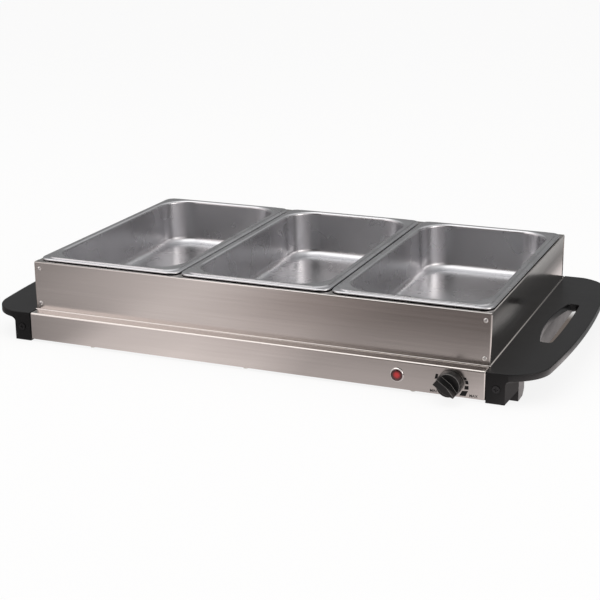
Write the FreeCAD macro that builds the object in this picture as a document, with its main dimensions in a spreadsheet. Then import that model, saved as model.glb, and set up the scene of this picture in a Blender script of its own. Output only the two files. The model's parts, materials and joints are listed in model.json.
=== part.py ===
import FreeCAD, Part
import math
import os
import re

import Sketcher
from FreeCAD import Placement, Rotation, Vector

# An electric food warmer tray: a flat heated base with two handles, a frame that stands
# on it and three lift-out pans. Millimetres, +X to the right, +Y to the rear, +Z up.
# The origin lies on the table, under the centre of the whole tray.

# Driving sizes
SIZES = [
    ("ledge_width", 16, "hot plate in front of and behind the frame"),
    ("base_top", 34.2, "height of the hot plate over the table"),
    ("apron_bottom", 3.2, "height of the apron's lower edge"),
    ("base_sheet", 0.8, "thickness of the base sheet"),
    ("base_bend", 2, "outer bend radius of the base"),
    ("base_flange", 11, "flange turned in under the apron"),
    ("cover_margin", 4, "cover set in from the apron"),
    ("cover_sheet", 0.8, "thickness of the bottom cover"),
    ("vent_columns", 7, "vents in a row of the cover"),
    ("vent_pitch", 56, "from one vent to the next"),
    ("vent_length", 34, "length of a vent"),
    ("vent_width", 5, "width of a vent"),
    ("vent_row", 120, "vent rows, from the middle"),
    ("cover_screw_inset", 78, "outer cover screws, from the base side"),
    ("cover_screw_radius", 1.5, "shank of a cover screw"),
    ("cover_screw_head", 3, "head radius of a cover screw"),
    ("cover_screw_rise", 1.5, "head height of a cover screw"),
    ("cover_screw_length", 6, "shank length of a cover screw"),
    ("frame_margin", 6.5, "frame in front of and behind the pan rims"),
    ("frame_end_margin", 2, "frame past the outer pans' rims"),
    ("frame_top", 90.7, "height of the pan frame's top flange"),
    ("frame_sheet", 0.8, "thickness of the pan frame"),
    ("frame_flange", 10, "flange turned in at the frame's top"),
    ("frame_hem", 7, "flange turned in at the frame's foot"),
    ("frame_bend", 1.2, "outer bend radius of the frame"),
    ("corner_tab", 13, "side panel's tab behind the front panel"),
    ("rivet_inset", 6, "rivets, from the frame's end"),
    ("rivet_upper", 82.8, "height of the upper rivets"),
    ("rivet_lower", 42, "height of the lower rivets"),
    ("rivet_radius", 1.5, "shank of a frame rivet"),
    ("rivet_head", 2.4, "head radius of a frame rivet"),
    ("rivet_rise", 1, "head height of a frame rivet"),
    ("divider_width", 14, "bar under two pan rims"),
    ("divider_depth", 7, "depth of the bar's legs"),
    ("pan_gap", 2, "from one pan rim to the next"),
    ("pan_rim_length", 176, "pan rim, left to right"),
    ("pan_rim_width", 325, "pan rim, front to rear"),
    ("pan_rim_corner", 12, "corner radius of the rim"),
    ("pan_rim_drop", 3.9, "depth of the rolled-down rim edge"),
    ("pan_rim_roll", 1.6, "radius of the rolled edge"),
    ("pan_rim_land", 11, "flat rim, from its edge to the well mouth"),
    ("pan_well_corner", 35, "corner radius of the well mouth"),
    ("pan_depth", 56, "depth of a pan, rim to foot"),
    ("pan_draft", 3, "slope of the well walls, degrees"),
    ("pan_mouth_bend", 3, "bend from the rim into the well"),
    ("pan_foot_bend", 9, "bend from the wall into the floor"),
    ("pan_sheet", 0.7, "thickness of a pan"),
    ("handle_gap", 0.3, "handle to the base side"),
    ("handle_reach", 66, "handle, from the base side outwards"),
    ("handle_end_reach", 57.5, "same, at the end of the outer curve"),
    ("handle_end_inset", 38, "end of the outer curve, behind the base's front"),
    ("handle_front_run", 23, "straight front edge of the handle"),
    ("handle_corner", 46, "corner radius of the handle"),
    ("handle_plate", 7.5, "thickness of the handle plate"),
    ("handle_edge", 1.2, "rounded top edge of the handle"),
    ("handle_wall", 3, "handle's inner wall between its legs"),
    ("slot_inner", 20.5, "finger slot's near edge, from the base side"),
    ("slot_inner_end", 29, "same, at the slot's ends"),
    ("slot_outer", 43, "finger slot's far edge, from the base side"),
    ("slot_outer_end", 41, "same, at the slot's ends"),
    ("slot_half", 73, "half the finger slot's length"),
    ("slot_corner", 5, "corner radius of the finger slot"),
    ("leg_reach", 20.2, "leg, from the base side outwards"),
    ("leg_depth", 16.5, "leg, front to rear"),
    ("leg_front_wall", 3.5, "leg's front wall, where the screw sits"),
    ("leg_side_wall", 5, "leg's outer wall"),
    ("leg_fillet", 5, "fillet from leg to handle plate"),
    ("foot_reach", 30.2, "foot block, from the base side outwards"),
    ("foot_depth", 24, "foot block, front to rear"),
    ("foot_chamfer", 6, "slope at the foot block's rear"),
    ("gusset_rise", 12.4, "open notch under the leg's gusset"),
    ("pad_radius", 7, "rubber foot pad"),
    ("pad_height", 2.6, "height of a foot pad"),
    ("pad_proud", 0.6, "foot pad under the legs"),
    ("bracket_sheet", 2, "steel handle bracket"),
    ("bracket_room", 0.3, "handle round the bracket and its rivets"),
    ("bracket_bottom", 6, "height of the bracket's lower edge"),
    ("bracket_tab", 15, "bracket's tapped tab"),
    ("bracket_rivet_y", 110, "bracket rivets, from the middle"),
    ("bracket_rivet_radius", 2, "shank of a bracket rivet"),
    ("bracket_rivet_head", 3.6, "head radius of a bracket rivet"),
    ("bracket_rivet_rise", 1.2, "head height of a bracket rivet"),
    ("leg_screw_reach", 11, "leg screw, from the base side"),
    ("leg_screw_height", 16.5, "height of the leg screws"),
    ("leg_screw_radius", 1.95, "shank of a leg screw"),
    ("leg_screw_head", 4, "head radius of a leg screw"),
    ("leg_screw_rise", 2.2, "head height of a leg screw"),
    ("leg_screw_sink", 1.5, "leg screw's counterbore"),
    ("leg_screw_length", 9, "shank length of a leg screw"),
    ("cross_width", 1.1, "screw recess, across a wing"),
    ("cross_depth", 1, "depth of a screw recess"),
    ("cross_share", 0.6, "wing of a recess, as a share of the head's radius"),
    ("spreader_inset", 68, "heat spreader, from the base side"),
    ("spreader_margin", 45, "heat spreader, from the base's front and rear"),
    ("spreader_sheet", 1.5, "thickness of the heat spreader"),
    ("element_radius", 3.25, "tubular heating element"),
    ("element_margin", 10, "element's turns, inside the spreader's end"),
    ("element_pitch", 60, "from one run to the next"),
    ("element_tail_reach", 5, "element ends, past the spreader"),
    ("pin_radius", 1.5, "element's connecting pin"),
    ("pin_length", 10, "length of a connecting pin"),
    ("clamp_x", 100, "clamp bars, from the middle"),
    ("clamp_width", 12, "width of a clamp bar"),
    ("clamp_sheet", 1.5, "thickness of a clamp bar"),
    ("clamp_overhang", 8, "clamp bar past its studs"),
    ("stud_y", 110, "studs, from the middle"),
    ("stud_radius", 2.5, "threaded stud"),
    ("nut_radius", 4.6, "nut, to its corners"),
    ("nut_height", 3, "height of a nut"),
    ("reflector_sheet", 0.6, "thickness of the reflector"),
    ("reflector_margin", 4, "reflector set in from the spreader"),
    ("reflector_notch", 10, "opening for the element's tail"),
    ("knob_inset", 36.6, "knob axis, from the base side"),
    ("knob_height", 17.6, "height of the knob axis"),
    ("knob_radius", 13.4, "knob"),
    ("knob_standoff", 1, "knob to the apron"),
    ("knob_depth", 23, "knob, along its axis"),
    ("knob_body_depth", 10, "round part of the knob, along its axis"),
    ("knob_wall", 2, "wall of the knob"),
    ("knob_hollow", 6, "depth of the hollow at the knob's back"),
    ("knob_flare", 0.3, "knob narrows to its shoulder"),
    ("knob_shoulder", 2, "length of the knob's shoulder"),
    ("knob_face", 12.4, "radius of the knob's round face"),
    ("knob_grip_width", 7.3, "width of the knob's grip"),
    ("knob_grip_blunt", 12.3, "grip's blunt end, from the axis"),
    ("knob_grip_point", 12.6, "grip's pointed end, from the axis"),
    ("knob_grip_taper", 11, "length of the grip's point"),
    ("knob_grip_tip", 1.2, "width at the grip's tip"),
    ("knob_rest_angle", 36.5, "grip under the level, degrees"),
    ("spindle_radius", 3, "control spindle"),
    ("spindle_grip", 12, "spindle inside the knob"),
    ("spindle_seat", 11, "spindle inside the thermostat"),
    ("bush_radius", 5, "thermostat's mounting bush"),
    ("bush_proud", 4.5, "bush in front of the apron"),
    ("bush_nut_radius", 7.4, "nut on the bush"),
    ("bush_nut_height", 2.2, "height of the nut on the bush"),
    ("thermostat_length", 30, "thermostat, left to right"),
    ("thermostat_depth", 24, "thermostat, front to rear"),
    ("thermostat_rise", 24, "height of the thermostat"),
    ("blade_width", 4.8, "push-on terminal blade"),
    ("blade_sheet", 0.8, "thickness of a blade"),
    ("blade_length", 8, "length of a blade"),
    ("blade_spacing", 14, "from one blade to the next"),
    ("lamp_inset", 93.9, "lamp, from the base side"),
    ("lamp_height", 18.3, "height of the lamp"),
    ("bezel_radius", 7.7, "lamp bezel"),
    ("bezel_rise", 1.4, "bezel in front of the apron"),
    ("bezel_slope", 0.6, "slope round the bezel's front"),
    ("lens_radius", 6.2, "lamp lens"),
    ("lens_seat", 0.2, "lens seat in front of the apron"),
    ("lens_edge", 0.6, "lens edge in front of the apron"),
    ("lens_rise", 1.2, "lens crown in front of the apron"),
    ("lamp_body_radius", 5.9, "lamp housing"),
    ("lamp_body_depth", 22, "lamp housing, front to rear"),
    ("lamp_ring_radius", 9, "lamp's retaining ring"),
    ("lamp_ring_sheet", 1.5, "thickness of the retaining ring"),
    ("lamp_blade_spacing", 5, "from one lamp blade to the next"),
    ("block_inset", 118, "terminal block, from the base side"),
    ("block_length", 36, "terminal block, left to right"),
    ("block_depth", 16, "terminal block, front to rear"),
    ("block_bottom", 7, "height of the block's foot"),
    ("block_rise", 15, "height of the terminal block"),
    ("block_poles", 3, "poles of the terminal block"),
    ("block_pole_pitch", 11, "from one pole to the next"),
    ("block_screw_radius", 1.5, "screw that holds the block"),
    ("block_screw_length", 8, "shank length of that screw"),
    ("pole_screw_radius", 2.2, "terminal screw"),
    ("pole_screw_rise", 1.6, "height of a terminal screw"),
    ("gland_inset", 60, "cord gland, from the base side"),
    ("gland_height", 18.6, "height of the cord gland"),
    ("gland_bore", 3.6, "bore of the cord gland"),
    ("gland_entry", 4.6, "wider bore inside the base"),
    ("gland_neck", 7.8, "neck of the gland, in the apron"),
    ("gland_flange", 11, "flange of the gland"),
    ("gland_flange_rise", 3, "thickness of that flange"),
    ("gland_nose", 6.2, "end of the gland's nose"),
    ("gland_reach", 14, "gland behind the apron"),
    ("gland_inside", 7, "gland inside the base"),
    ("gland_nut_radius", 11.5, "gland's nut"),
    ("gland_nut_height", 4, "height of the gland's nut"),
    ("fuse_reach", 16, "thermal fuse, from the spreader's end"),
    ("fuse_radius", 2.4, "thermal fuse"),
    ("fuse_length", 18, "length of the thermal fuse"),
    ("clip_sheet", 0.8, "thickness of the fuse clip"),
    ("clip_width", 8, "width of the fuse clip"),
    ("clip_reach", 7, "fuse clip, from the fuse's axis"),
    ("clip_stud_reach", 14, "clip's stud, from the fuse's axis"),
    ("small_stud_radius", 2, "stud of the fuse clip and the earth"),
    ("small_nut_radius", 3.8, "nut on a small stud"),
    ("small_nut_height", 2.4, "height of a small nut"),
    ("small_stud_tail", 2, "small stud past its nut"),
    ("earth_reach", 36, "earth stud, from the spreader's end"),
    ("earth_inset", 55, "earth stud, from the base's rear"),
    ("lug_radius", 4, "ring of the earth lug"),
    ("lug_sheet", 0.8, "thickness of the earth lug"),
    ("lug_tongue", 10, "tongue of the earth lug"),
    ("lead_radius", 1.2, "insulated lead"),
    ("lead_floor", 3, "lowest lead over the flange"),
    ("live_run", 22, "live lead, straight out of its pole"),
    ("live_lane", 10, "live lead beside the fuse"),
    ("live_turn", 30, "live lead behind the fuse"),
    ("fuse_run", 24, "fuse lead in front of the fuse"),
    ("element_run", 16, "element lead past its pin"),
    ("blade_run", 18, "element lead behind its blade"),
    ("neutral_run", 14, "neutral lead past its pin"),
    ("neutral_turn", 13, "neutral lead in front of its pole"),
    ("earth_run", 12, "earth lead past its lug"),
    ("pole_height", 5, "lead's entry over the block's foot"),
    ("lead_bend", 6, "bend radius of a lead"),
    ("stud_tail", 1, "stud past its lower nut"),
    ("seat_gap", 0.05, "hot pieces apart where they only touch"),
    ("overlap", 1, "pieces of one solid into each other"),
    ("bore_spare", 0.2, "blind bore past the spindle's end"),
    ("sink_room", 0.4, "counterbore round a screw head"),
    ("tab_room", 0.5, "room at the end of a bracket's tab"),
    ("knob_wall_slope", 0.6, "wall of the knob, thicker at its floor"),
    ("gland_lip", 1, "rounded edges of the gland, along its axis"),
    ("gland_swell", 2.5, "root of the gland's nose, wider than its end"),
    ("gland_taper", 0.6, "gland's nose, wider at the lip"),
    ("screw_clearance", 0.25, "hole round a shank, on the radius"),
    ("running_clearance", 0.05, "spindle in its bush, on the radius"),
    ("fit_clearance", 0.1, "inserted pieces, on the radius"),
]

# Sizes that follow from the driving ones
WORKED = [
    ("frame_width", "pan_rim_width + 2 * frame_margin", "pan frame, front to rear"),
    ("base_width", "frame_width + 2 * ledge_width", "folded base, front to rear"),
    ("pan_well_length", "pan_rim_length - 2 * pan_rim_land", "well mouth, left to right"),
    ("pan_well_width", "pan_rim_width - 2 * pan_rim_land", "well mouth, front to rear"),
    ("pan_pitch", "pan_rim_length + pan_gap", "from one pan to the next"),
    ("base_length", "2 * pan_pitch + pan_rim_length + 2 * frame_end_margin",
     "folded base, left to right"),
    ("base_side", "base_length / 2", "outer side of the base"),
    ("spreader_end", "base_side - spreader_inset", "end of the spreader"),
    ("element_half_run", "spreader_end - element_margin - element_pitch / 2",
     "half a straight run of the element"),
    ("element_tail", "spreader_end + element_tail_reach", "element ends, from the middle"),
    ("fuse_x", "spreader_end + fuse_reach", "thermal fuse, from the middle"),
    ("earth_x", "spreader_end + earth_reach", "earth stud, from the middle"),
    ("cover_screw_pitch", "base_side - cover_screw_inset", "cover screws, left to right"),
    ("knob_x", "base_side - knob_inset", "knob axis, from the middle"),
    ("lamp_x", "base_side - lamp_inset", "lamp, from the middle"),
    ("block_x", "base_side - block_inset", "terminal block, from the middle"),
    ("gland_x", "base_side - gland_inset", "cord gland, from the middle"),
    ("base_front", "base_width / 2", "outer front of the base"),
    ("handle_end_y", "base_front - handle_end_inset", "end of the outer curve"),
    ("earth_y", "base_front - earth_inset", "earth stud, from the middle"),
    ("spreader_front", "base_front - spreader_margin", "front of the spreader"),
    ("plate_under", "base_top - base_sheet", "underside of the hot plate"),
    ("apron_inside", "base_front - base_sheet", "inside of the front apron"),
    ("cover_bottom", "apron_bottom - cover_sheet", "underside of the cover"),
    ("cover_screw_y", "apron_inside - base_flange / 2", "cover screws, from the middle"),
    ("frame_front", "frame_width / 2", "outer front of the frame"),
    ("frame_inside", "frame_front - frame_sheet", "inside of the front panel"),
    ("rivet_x", "base_side - rivet_inset", "frame rivets, from the middle"),
    ("rim_top", "frame_top + pan_rim_drop", "top of the pan rims"),
    ("handle_inner", "base_side + handle_gap", "handle's edge along the base"),
    ("handle_under", "base_top - handle_plate", "underside of the handle plate"),
    ("bracket_face", "base_side + bracket_sheet", "outer face of the bracket"),
    ("leg_screw_x", "base_side + leg_screw_reach", "leg screws, from the middle"),
    ("leg_wall_inside", "base_front - leg_front_wall", "inside of the leg's front wall"),
    ("leg_rear", "base_front - leg_depth", "leg meets the foot block"),
    ("foot_rear", "leg_rear - foot_depth", "rear of the foot block"),
    ("pad_x", "base_side + foot_reach / 2", "foot pads, from the middle"),
    ("pad_y", "leg_rear - foot_depth / 2", "foot pads, from the middle"),
    ("spreader_under", "plate_under - spreader_sheet", "underside of the spreader"),
    ("element_height", "spreader_under - element_radius - seat_gap", "axis of the element"),
    ("clamp_top", "element_height - element_radius - seat_gap", "top of the clamp bars"),
    ("clamp_bottom", "clamp_top - clamp_sheet", "underside of the clamp bars"),
    ("reflector_top", "clamp_bottom - nut_height", "upper face of the reflector's floor"),
    ("reflector_bottom", "reflector_top - reflector_sheet", "its lower face"),
    ("stud_end", "reflector_bottom - nut_height - stud_tail", "lower end of the studs"),
    ("knob_back", "base_front + knob_standoff", "rear of the knob"),
    ("knob_front", "knob_back + knob_depth", "front of the knob"),
    ("knob_floor", "knob_back + knob_hollow", "floor of the knob's hollow"),
    ("thermostat_rear", "apron_inside - thermostat_depth", "rear of the thermostat"),
    ("lamp_rear", "base_front + lens_seat - lamp_body_depth", "rear of the lamp"),
    ("gland_rear", "base_front + gland_reach", "rear of the cord gland"),
    ("centre_y", "(knob_front - gland_rear) / 2", "centres the tray over the origin"),
    ("fuse_height", "plate_under - fuse_radius - seat_gap", "axis of the thermal fuse"),
    ("clip_top", "fuse_height - fuse_radius - seat_gap", "upper face of the fuse clip"),
]

doc = FreeCAD.newDocument("WarmerTray")
HOME = {}
parts = []
TOUCH = 1e-4
NEAR = 0.01
ROWS = 4
OUTER_RUN = (ROWS - 1) / 2


# Sheet of sizes

def formula(text):
    """Writes each size in an expression with the sheet that holds it."""
    def with_sheet(word):
        name = word.group(0)
        return f"{HOME[name]}.{name}" if name in HOME else name
    return re.sub(r"[a-z_]+", with_sheet, str(text))


def fill_sheet(name, rows):
    sheet = doc.addObject("Spreadsheet::Sheet", name)
    for row, (alias, content, meaning) in enumerate(rows, start=1):
        written = str(content) if name == "Sizes" else "=" + formula(content)
        sheet.set(f"A{row}", meaning)
        sheet.set(f"B{row}", written)
        sheet.setAlias(f"B{row}", alias)
        HOME[alias] = name
    doc.recompute()
    return sheet


class Cells:
    """Reads a named size as a number."""

    def __getattr__(self, alias):
        return float(getattr(doc.getObject(HOME[alias]), alias))


def number(text):
    """Works out an expression of named sizes in a spare cell."""
    spare = doc.getObject("Spare")
    spare.set("A1", "=" + formula(text))
    spare.recompute()
    return float(spare.get("A1"))


def bind(thing, prop, text):
    thing.setExpression(prop, formula(text))


# Building blocks

def new_part(label, across="0"):
    solid = doc.addObject("PartDesign::Body", label)
    solid.Label = label
    bind(solid, "Placement.Base.x", across)
    bind(solid, "Placement.Base.y", "centre_y")
    parts.append(solid)
    return solid


def shaped(label, shape):
    """A piece whose form is worked out from the sheet by code."""
    piece = doc.addObject("Part::Feature", label)
    piece.Label = label
    piece.Shape = shape
    bind(piece, "Placement.Base.y", "centre_y")
    parts.append(piece)
    return piece


def mirrored(label, source):
    piece = doc.addObject("Part::Mirroring", label)
    piece.Label = label
    piece.Source = source
    piece.Normal = Vector(1, 0, 0)
    parts.append(piece)
    return piece


def block(solid, name, low, high, cut=False):
    """A rectangular block between two opposite corners."""
    kind = "PartDesign::SubtractiveBox" if cut else "PartDesign::AdditiveBox"
    made = solid.newObject(kind, name)
    for axis, prop, start, end in zip("xyz", ("Length", "Width", "Height"), low, high):
        bind(made, f"Placement.Base.{axis}", start)
        bind(made, prop, f"({end}) - ({start})")
    return made


TURN = {
    "x": Rotation(Vector(0, 1, 0), 90),
    "y": Rotation(Vector(1, 0, 0), -90),
    "z": Rotation(),
}


def round_bar(solid, name, radius, start, length, axis="z", cut=False):
    """A cylinder that runs from its start point along one axis."""
    kind = "PartDesign::SubtractiveCylinder" if cut else "PartDesign::AdditiveCylinder"
    made = solid.newObject(kind, name)
    made.Placement = Placement(Vector(), TURN[axis])
    for direction, place in zip("xyz", start):
        bind(made, f"Placement.Base.{direction}", place)
    bind(made, "Radius", radius)
    bind(made, "Height", length)
    return made


def wedge(solid, name, foot, ridge, along, depth, turn, cut=False):
    """A block whose reach along X changes from foot to ridge; turned about the X axis."""
    kind = "PartDesign::SubtractiveWedge" if cut else "PartDesign::AdditiveWedge"
    made = solid.newObject(kind, name)
    made.Placement = Placement(Vector(), Rotation(Vector(1, 0, 0), turn))
    names = ("Xmin", "Xmax", "X2min", "X2max", "Ymin", "Ymax", "Zmin", "Zmax", "Z2min", "Z2max")
    for prop, text in zip(names, (*foot, *ridge, *along, *depth, *depth)):
        bind(made, prop, text)
    return made


def plane_of(solid, role):
    return next(item for item in solid.Origin.OriginFeatures if item.Role == role)


def new_sketch(solid, name, role, offset):
    sketch = solid.newObject("Sketcher::SketchObject", name)
    sketch.AttachmentSupport = [(plane_of(solid, role), "")]
    sketch.MapMode = "FlatFace"
    for axis, place in zip("xyz", offset):
        bind(sketch, f"AttachmentOffset.Base.{axis}", place)
    return sketch


def fix_point(sketch, geometry, end, name, place):
    """Ties one point of a sketch to the sketch's origin."""
    for kind, letter, text in zip(("DistanceX", "DistanceY"), "xy", place):
        fix_size(sketch, name + letter, text, kind, geometry, end)


def polygon(sketch, corners):
    """A closed outline of straight lines through named corners."""
    places = [Vector(number(x), number(y), 0) for x, y in corners]
    count = len(places)
    for index in range(count):
        sketch.addGeometry(Part.LineSegment(places[index], places[(index + 1) % count]))
    for index, corner in enumerate(corners):
        sketch.addConstraint(Sketcher.Constraint("Coincident", index - 1 if index else count - 1,
                                                 2, index, 1))
        fix_point(sketch, index, 1, f"p{index}", corner)


def rounded_rectangle(sketch, length, width, radius):
    """A rectangle about the sketch's origin, with four equal round corners."""
    first = sketch.GeometryCount
    half_x, half_y, bend = number(length) / 2, number(width) / 2, number(radius)
    for index, (sx, sy) in enumerate(((1, 1), (-1, 1), (-1, -1), (1, -1))):
        centre = Vector(sx * (half_x - bend), sy * (half_y - bend), 0)
        circle = Part.Circle(centre, Vector(0, 0, 1), bend)
        start = index * math.pi / 2
        sketch.addGeometry(Part.ArcOfCircle(circle, start, start + math.pi / 2))
    for index in range(4):
        start = sketch.getPoint(first + index, 2)
        end = sketch.getPoint(first + (index + 1) % 4, 1)
        sketch.addGeometry(Part.LineSegment(start, end))
    sides = (("DistanceY", width, 1), ("DistanceX", length, -1),
             ("DistanceY", width, -1), ("DistanceX", length, 1))
    for index, (kind, size, sign) in enumerate(sides):
        arc, line = first + index, first + index + 4
        after = first + (index + 1) % 4
        level = "Vertical" if index % 2 else "Horizontal"
        sketch.addConstraint(Sketcher.Constraint("Tangent", arc, 2, line, 1))
        sketch.addConstraint(Sketcher.Constraint("Tangent", line, 2, after, 1))
        sketch.addConstraint(Sketcher.Constraint(level, line))
        fix_size(sketch, f"bend{arc}", radius, "Radius", arc)
        fix_size(sketch, f"side{line}", f"{sign} * ({size}) / 2", kind, line, 1)


def fix_size(sketch, name, text, kind, *where):
    """Adds a named dimension to a sketch and ties it to the sizes."""
    index = sketch.addConstraint(Sketcher.Constraint(kind, *where, number(text)))
    sketch.renameConstraint(index, name)
    bind(sketch, f"Constraints.{name}", text)


def extrude(solid, name, sketch, length, cut=False):
    """Pads a sketch along its normal, or cuts it out the same way."""
    made = solid.newObject("PartDesign::Pocket" if cut else "PartDesign::Pad", name)
    made.Profile = sketch
    made.Reversed = cut
    bind(made, "Length", length)
    return made


def rounded_plate(solid, name, length, width, radius, low, height, cut=False):
    sketch = new_sketch(solid, name + "_outline", "XY_Plane", ("0", "0", low))
    rounded_rectangle(sketch, length, width, radius)
    return extrude(solid, name, sketch, height, cut)


def turned(solid, name, across, up, profile, cut=False):
    """A form turned about an axis that runs front to rear; profile pairs y with radius."""
    sketch = new_sketch(solid, name + "_profile", "YZ_Plane", ("0", up, across))
    polygon(sketch, profile)
    made = solid.newObject("PartDesign::Groove" if cut else "PartDesign::Revolution", name)
    made.Profile = sketch
    made.ReferenceAxis = (sketch, ["H_Axis"])
    made.Angle = 360
    return made


# Choosing edges and faces

def edge_names(feature, wanted):
    return [f"Edge{index}" for index, edge in enumerate(feature.Shape.Edges, start=1)
            if wanted(edge)]


def upright(edge):
    box = edge.BoundBox
    return box.XLength < TOUCH and box.YLength < TOUCH and box.ZLength > TOUCH


def level_at(height):
    """Edges that lie flat at one height."""
    def wanted(edge):
        box = edge.BoundBox
        return abs(box.ZMin - height) < TOUCH and abs(box.ZMax - height) < TOUCH
    return wanted


def across_at(place):
    """Edges that lie in one plane square to the Y axis."""
    def wanted(edge):
        box = edge.BoundBox
        return abs(box.YMin - place) < TOUCH and abs(box.YMax - place) < TOUCH
    return wanted


def soften(solid, name, radius, wanted):
    """Rounds the chosen edges of the body as it stands."""
    doc.recompute()
    base = solid.Tip
    made = solid.newObject("PartDesign::Fillet", name)
    made.Base = (base, edge_names(base, wanted))
    bind(made, "Radius", radius)
    doc.recompute()
    return made


# Base

def base_shell():
    shell = new_part("base_shell")
    low = ("-base_side", "-base_front", "apron_bottom")
    high = ("base_side", "base_front", "base_top")
    block(shell, "base_blank", low, high)
    top = level_at(cell.base_top)
    soften(shell, "base_outer_bend", "base_bend", lambda edge: top(edge) or upright(edge))
    rounded_plate(shell, "base_inside", "base_length - 2 * base_sheet", "2 * apron_inside",
                  "base_bend - base_sheet", "apron_bottom", "plate_under - apron_bottom",
                  cut=True)
    under = level_at(cell.plate_under)
    soften(shell, "base_inner_bend", "(base_bend - base_sheet) * 4 / 5", under)
    for name, side in (("front", "-1"), ("rear", "1")):
        inner = f"{side} * (apron_inside - base_flange)"
        outer = f"{side} * apron_inside"
        start, end = (outer, inner) if side == "-1" else (inner, outer)
        block(shell, f"base_{name}_flange",
              ("-base_side + base_sheet", start, "apron_bottom"),
              ("base_side - base_sheet", end, "apron_bottom + base_sheet"))
        for column in (-1, 0, 1):
            round_bar(shell, f"base_{name}_screw_hole_{column + 2}", "cover_screw_radius",
                      (f"{column} * cover_screw_pitch", f"{side} * cover_screw_y",
                       "apron_bottom"), "base_sheet", cut=True)
    deep = "base_sheet"
    round_bar(shell, "knob_hole", "bush_radius + fit_clearance",
              ("knob_x", "-base_front", "knob_height"), deep, "y", cut=True)
    round_bar(shell, "lamp_hole", "lamp_body_radius + fit_clearance",
              ("lamp_x", "-base_front", "lamp_height"), deep, "y", cut=True)
    round_bar(shell, "gland_hole", "gland_neck + fit_clearance",
              ("gland_x", "apron_inside", "gland_height"), deep, "y", cut=True)
    round_bar(shell, "block_hole", "block_screw_radius + screw_clearance",
              ("block_x", "apron_inside", "block_bottom + block_rise / 2"), deep, "y", cut=True)
    for row in (-1, 1):
        for side, start in (("right", "base_side - base_sheet"), ("left", "-base_side")):
            name = f"{side}_rivet_hole_{'front' if row < 0 else 'rear'}"
            round_bar(shell, name, "bracket_rivet_radius",
                      (start, f"{row} * bracket_rivet_y", "leg_screw_height"),
                      deep, "x", cut=True)


def bottom_cover():
    cover = new_part("bottom_cover")
    low = ("-base_side + cover_margin", "-base_front + cover_margin", "cover_bottom")
    high = ("base_side - cover_margin", "base_front - cover_margin", "apron_bottom")
    block(cover, "cover_sheet_blank", low, high)
    columns = int(cell.vent_columns)
    for row in (-1, 0, 1):
        for column in range(columns):
            place = f"{column - (columns - 1) / 2} * vent_pitch"
            block(cover, f"vent_{row + 2}_{column + 1}",
                  (f"{place} - vent_length / 2", f"{row} * vent_row - vent_width / 2",
                   "cover_bottom"),
                  (f"{place} + vent_length / 2", f"{row} * vent_row + vent_width / 2",
                   "apron_bottom"), cut=True)
    for row in (-1, 1):
        for column in (-1, 0, 1):
            round_bar(cover, f"cover_hole_{row + 2}_{column + 2}",
                      "cover_screw_radius + screw_clearance",
                      (f"{column} * cover_screw_pitch", f"{row} * cover_screw_y",
                       "cover_bottom"), "cover_sheet", cut=True)


def cross_recess(solid, name, centre, size, axis, outward):
    """Two crossed slots in a screw head; outward is the sign that the head faces."""
    half_long = f"({size}) * cross_share"
    half_short = "cross_width / 2"
    for wing, reach in enumerate(((half_long, half_short), (half_short, half_long))):
        spans = iter(reach)
        low, high = [], []
        for letter, place in zip("xyz", centre):
            if letter == axis:
                low.append(place if outward < 0 else f"{place} - cross_depth")
                high.append(f"{place} + cross_depth" if outward < 0 else place)
            else:
                span = next(spans)
                low.append(f"{place} - {span}")
                high.append(f"{place} + {span}")
        block(solid, f"{name}_wing_{wing + 1}", low, high, cut=True)


def cover_screws():
    screws = new_part("cover_screws")
    for row in (-1, 1):
        for column in (-1, 0, 1):
            tag = f"{row + 2}_{column + 2}"
            x, y = f"{column} * cover_screw_pitch", f"{row} * cover_screw_y"
            round_bar(screws, f"cover_screw_head_{tag}", "cover_screw_head",
                      (x, y, "cover_bottom - cover_screw_rise"), "cover_screw_rise")
            round_bar(screws, f"cover_screw_shank_{tag}", "cover_screw_radius",
                      (x, y, "cover_bottom"), "cover_screw_length")
            cross_recess(screws, f"cover_screw_cross_{tag}",
                         (x, y, "cover_bottom - cover_screw_rise"), "cover_screw_head", "z", -1)


# Handles

def handle_outline(sketch):
    """D-shaped plate: straight front and rear edges, round corners, a bowed outer edge."""
    inner = "handle_inner"
    run = "base_side + handle_front_run"
    bow_end = "base_side + handle_end_reach"
    near, far = cell.handle_inner, number("base_side + handle_reach")
    run_x, bend = number(run), cell.handle_corner
    end_x, end_y, front = number(bow_end), cell.handle_end_y, cell.base_front
    corners = [Vector(near, -front, 0), Vector(run_x, -front, 0), Vector(end_x, -end_y, 0),
               Vector(end_x, end_y, 0), Vector(run_x, front, 0), Vector(near, front, 0)]
    sketch.addGeometry(Part.LineSegment(corners[0], corners[1]))
    sketch.addGeometry(arc_between(corners[1], corners[2], bend))
    sketch.addGeometry(Part.Arc(corners[2], Vector(far, 0, 0), corners[3]))
    sketch.addGeometry(arc_between(corners[3], corners[4], bend))
    sketch.addGeometry(Part.LineSegment(corners[4], corners[5]))
    sketch.addGeometry(Part.LineSegment(corners[5], corners[0]))
    ends = [(0, 1, inner, "-base_front"), (0, 2, run, "-base_front"),
            (2, 1, bow_end, "-handle_end_y"), (2, 2, bow_end, "handle_end_y"),
            (4, 1, run, "base_front"), (4, 2, inner, "base_front")]
    for index in range(6):
        sketch.addConstraint(Sketcher.Constraint("Coincident", index, 2, (index + 1) % 6, 1))
    for index, (geometry, end, x, y) in enumerate(ends):
        fix_point(sketch, geometry, end, f"p{index}", (x, y))
    for name, geometry, size in (("front", 1, "handle_corner"), ("rear", 3, "handle_corner"),
                                 ("bow", 2, bow_radius("handle_end_y",
                                                       "handle_reach - handle_end_reach"))):
        fix_size(sketch, name, size, "Radius", geometry)


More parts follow.
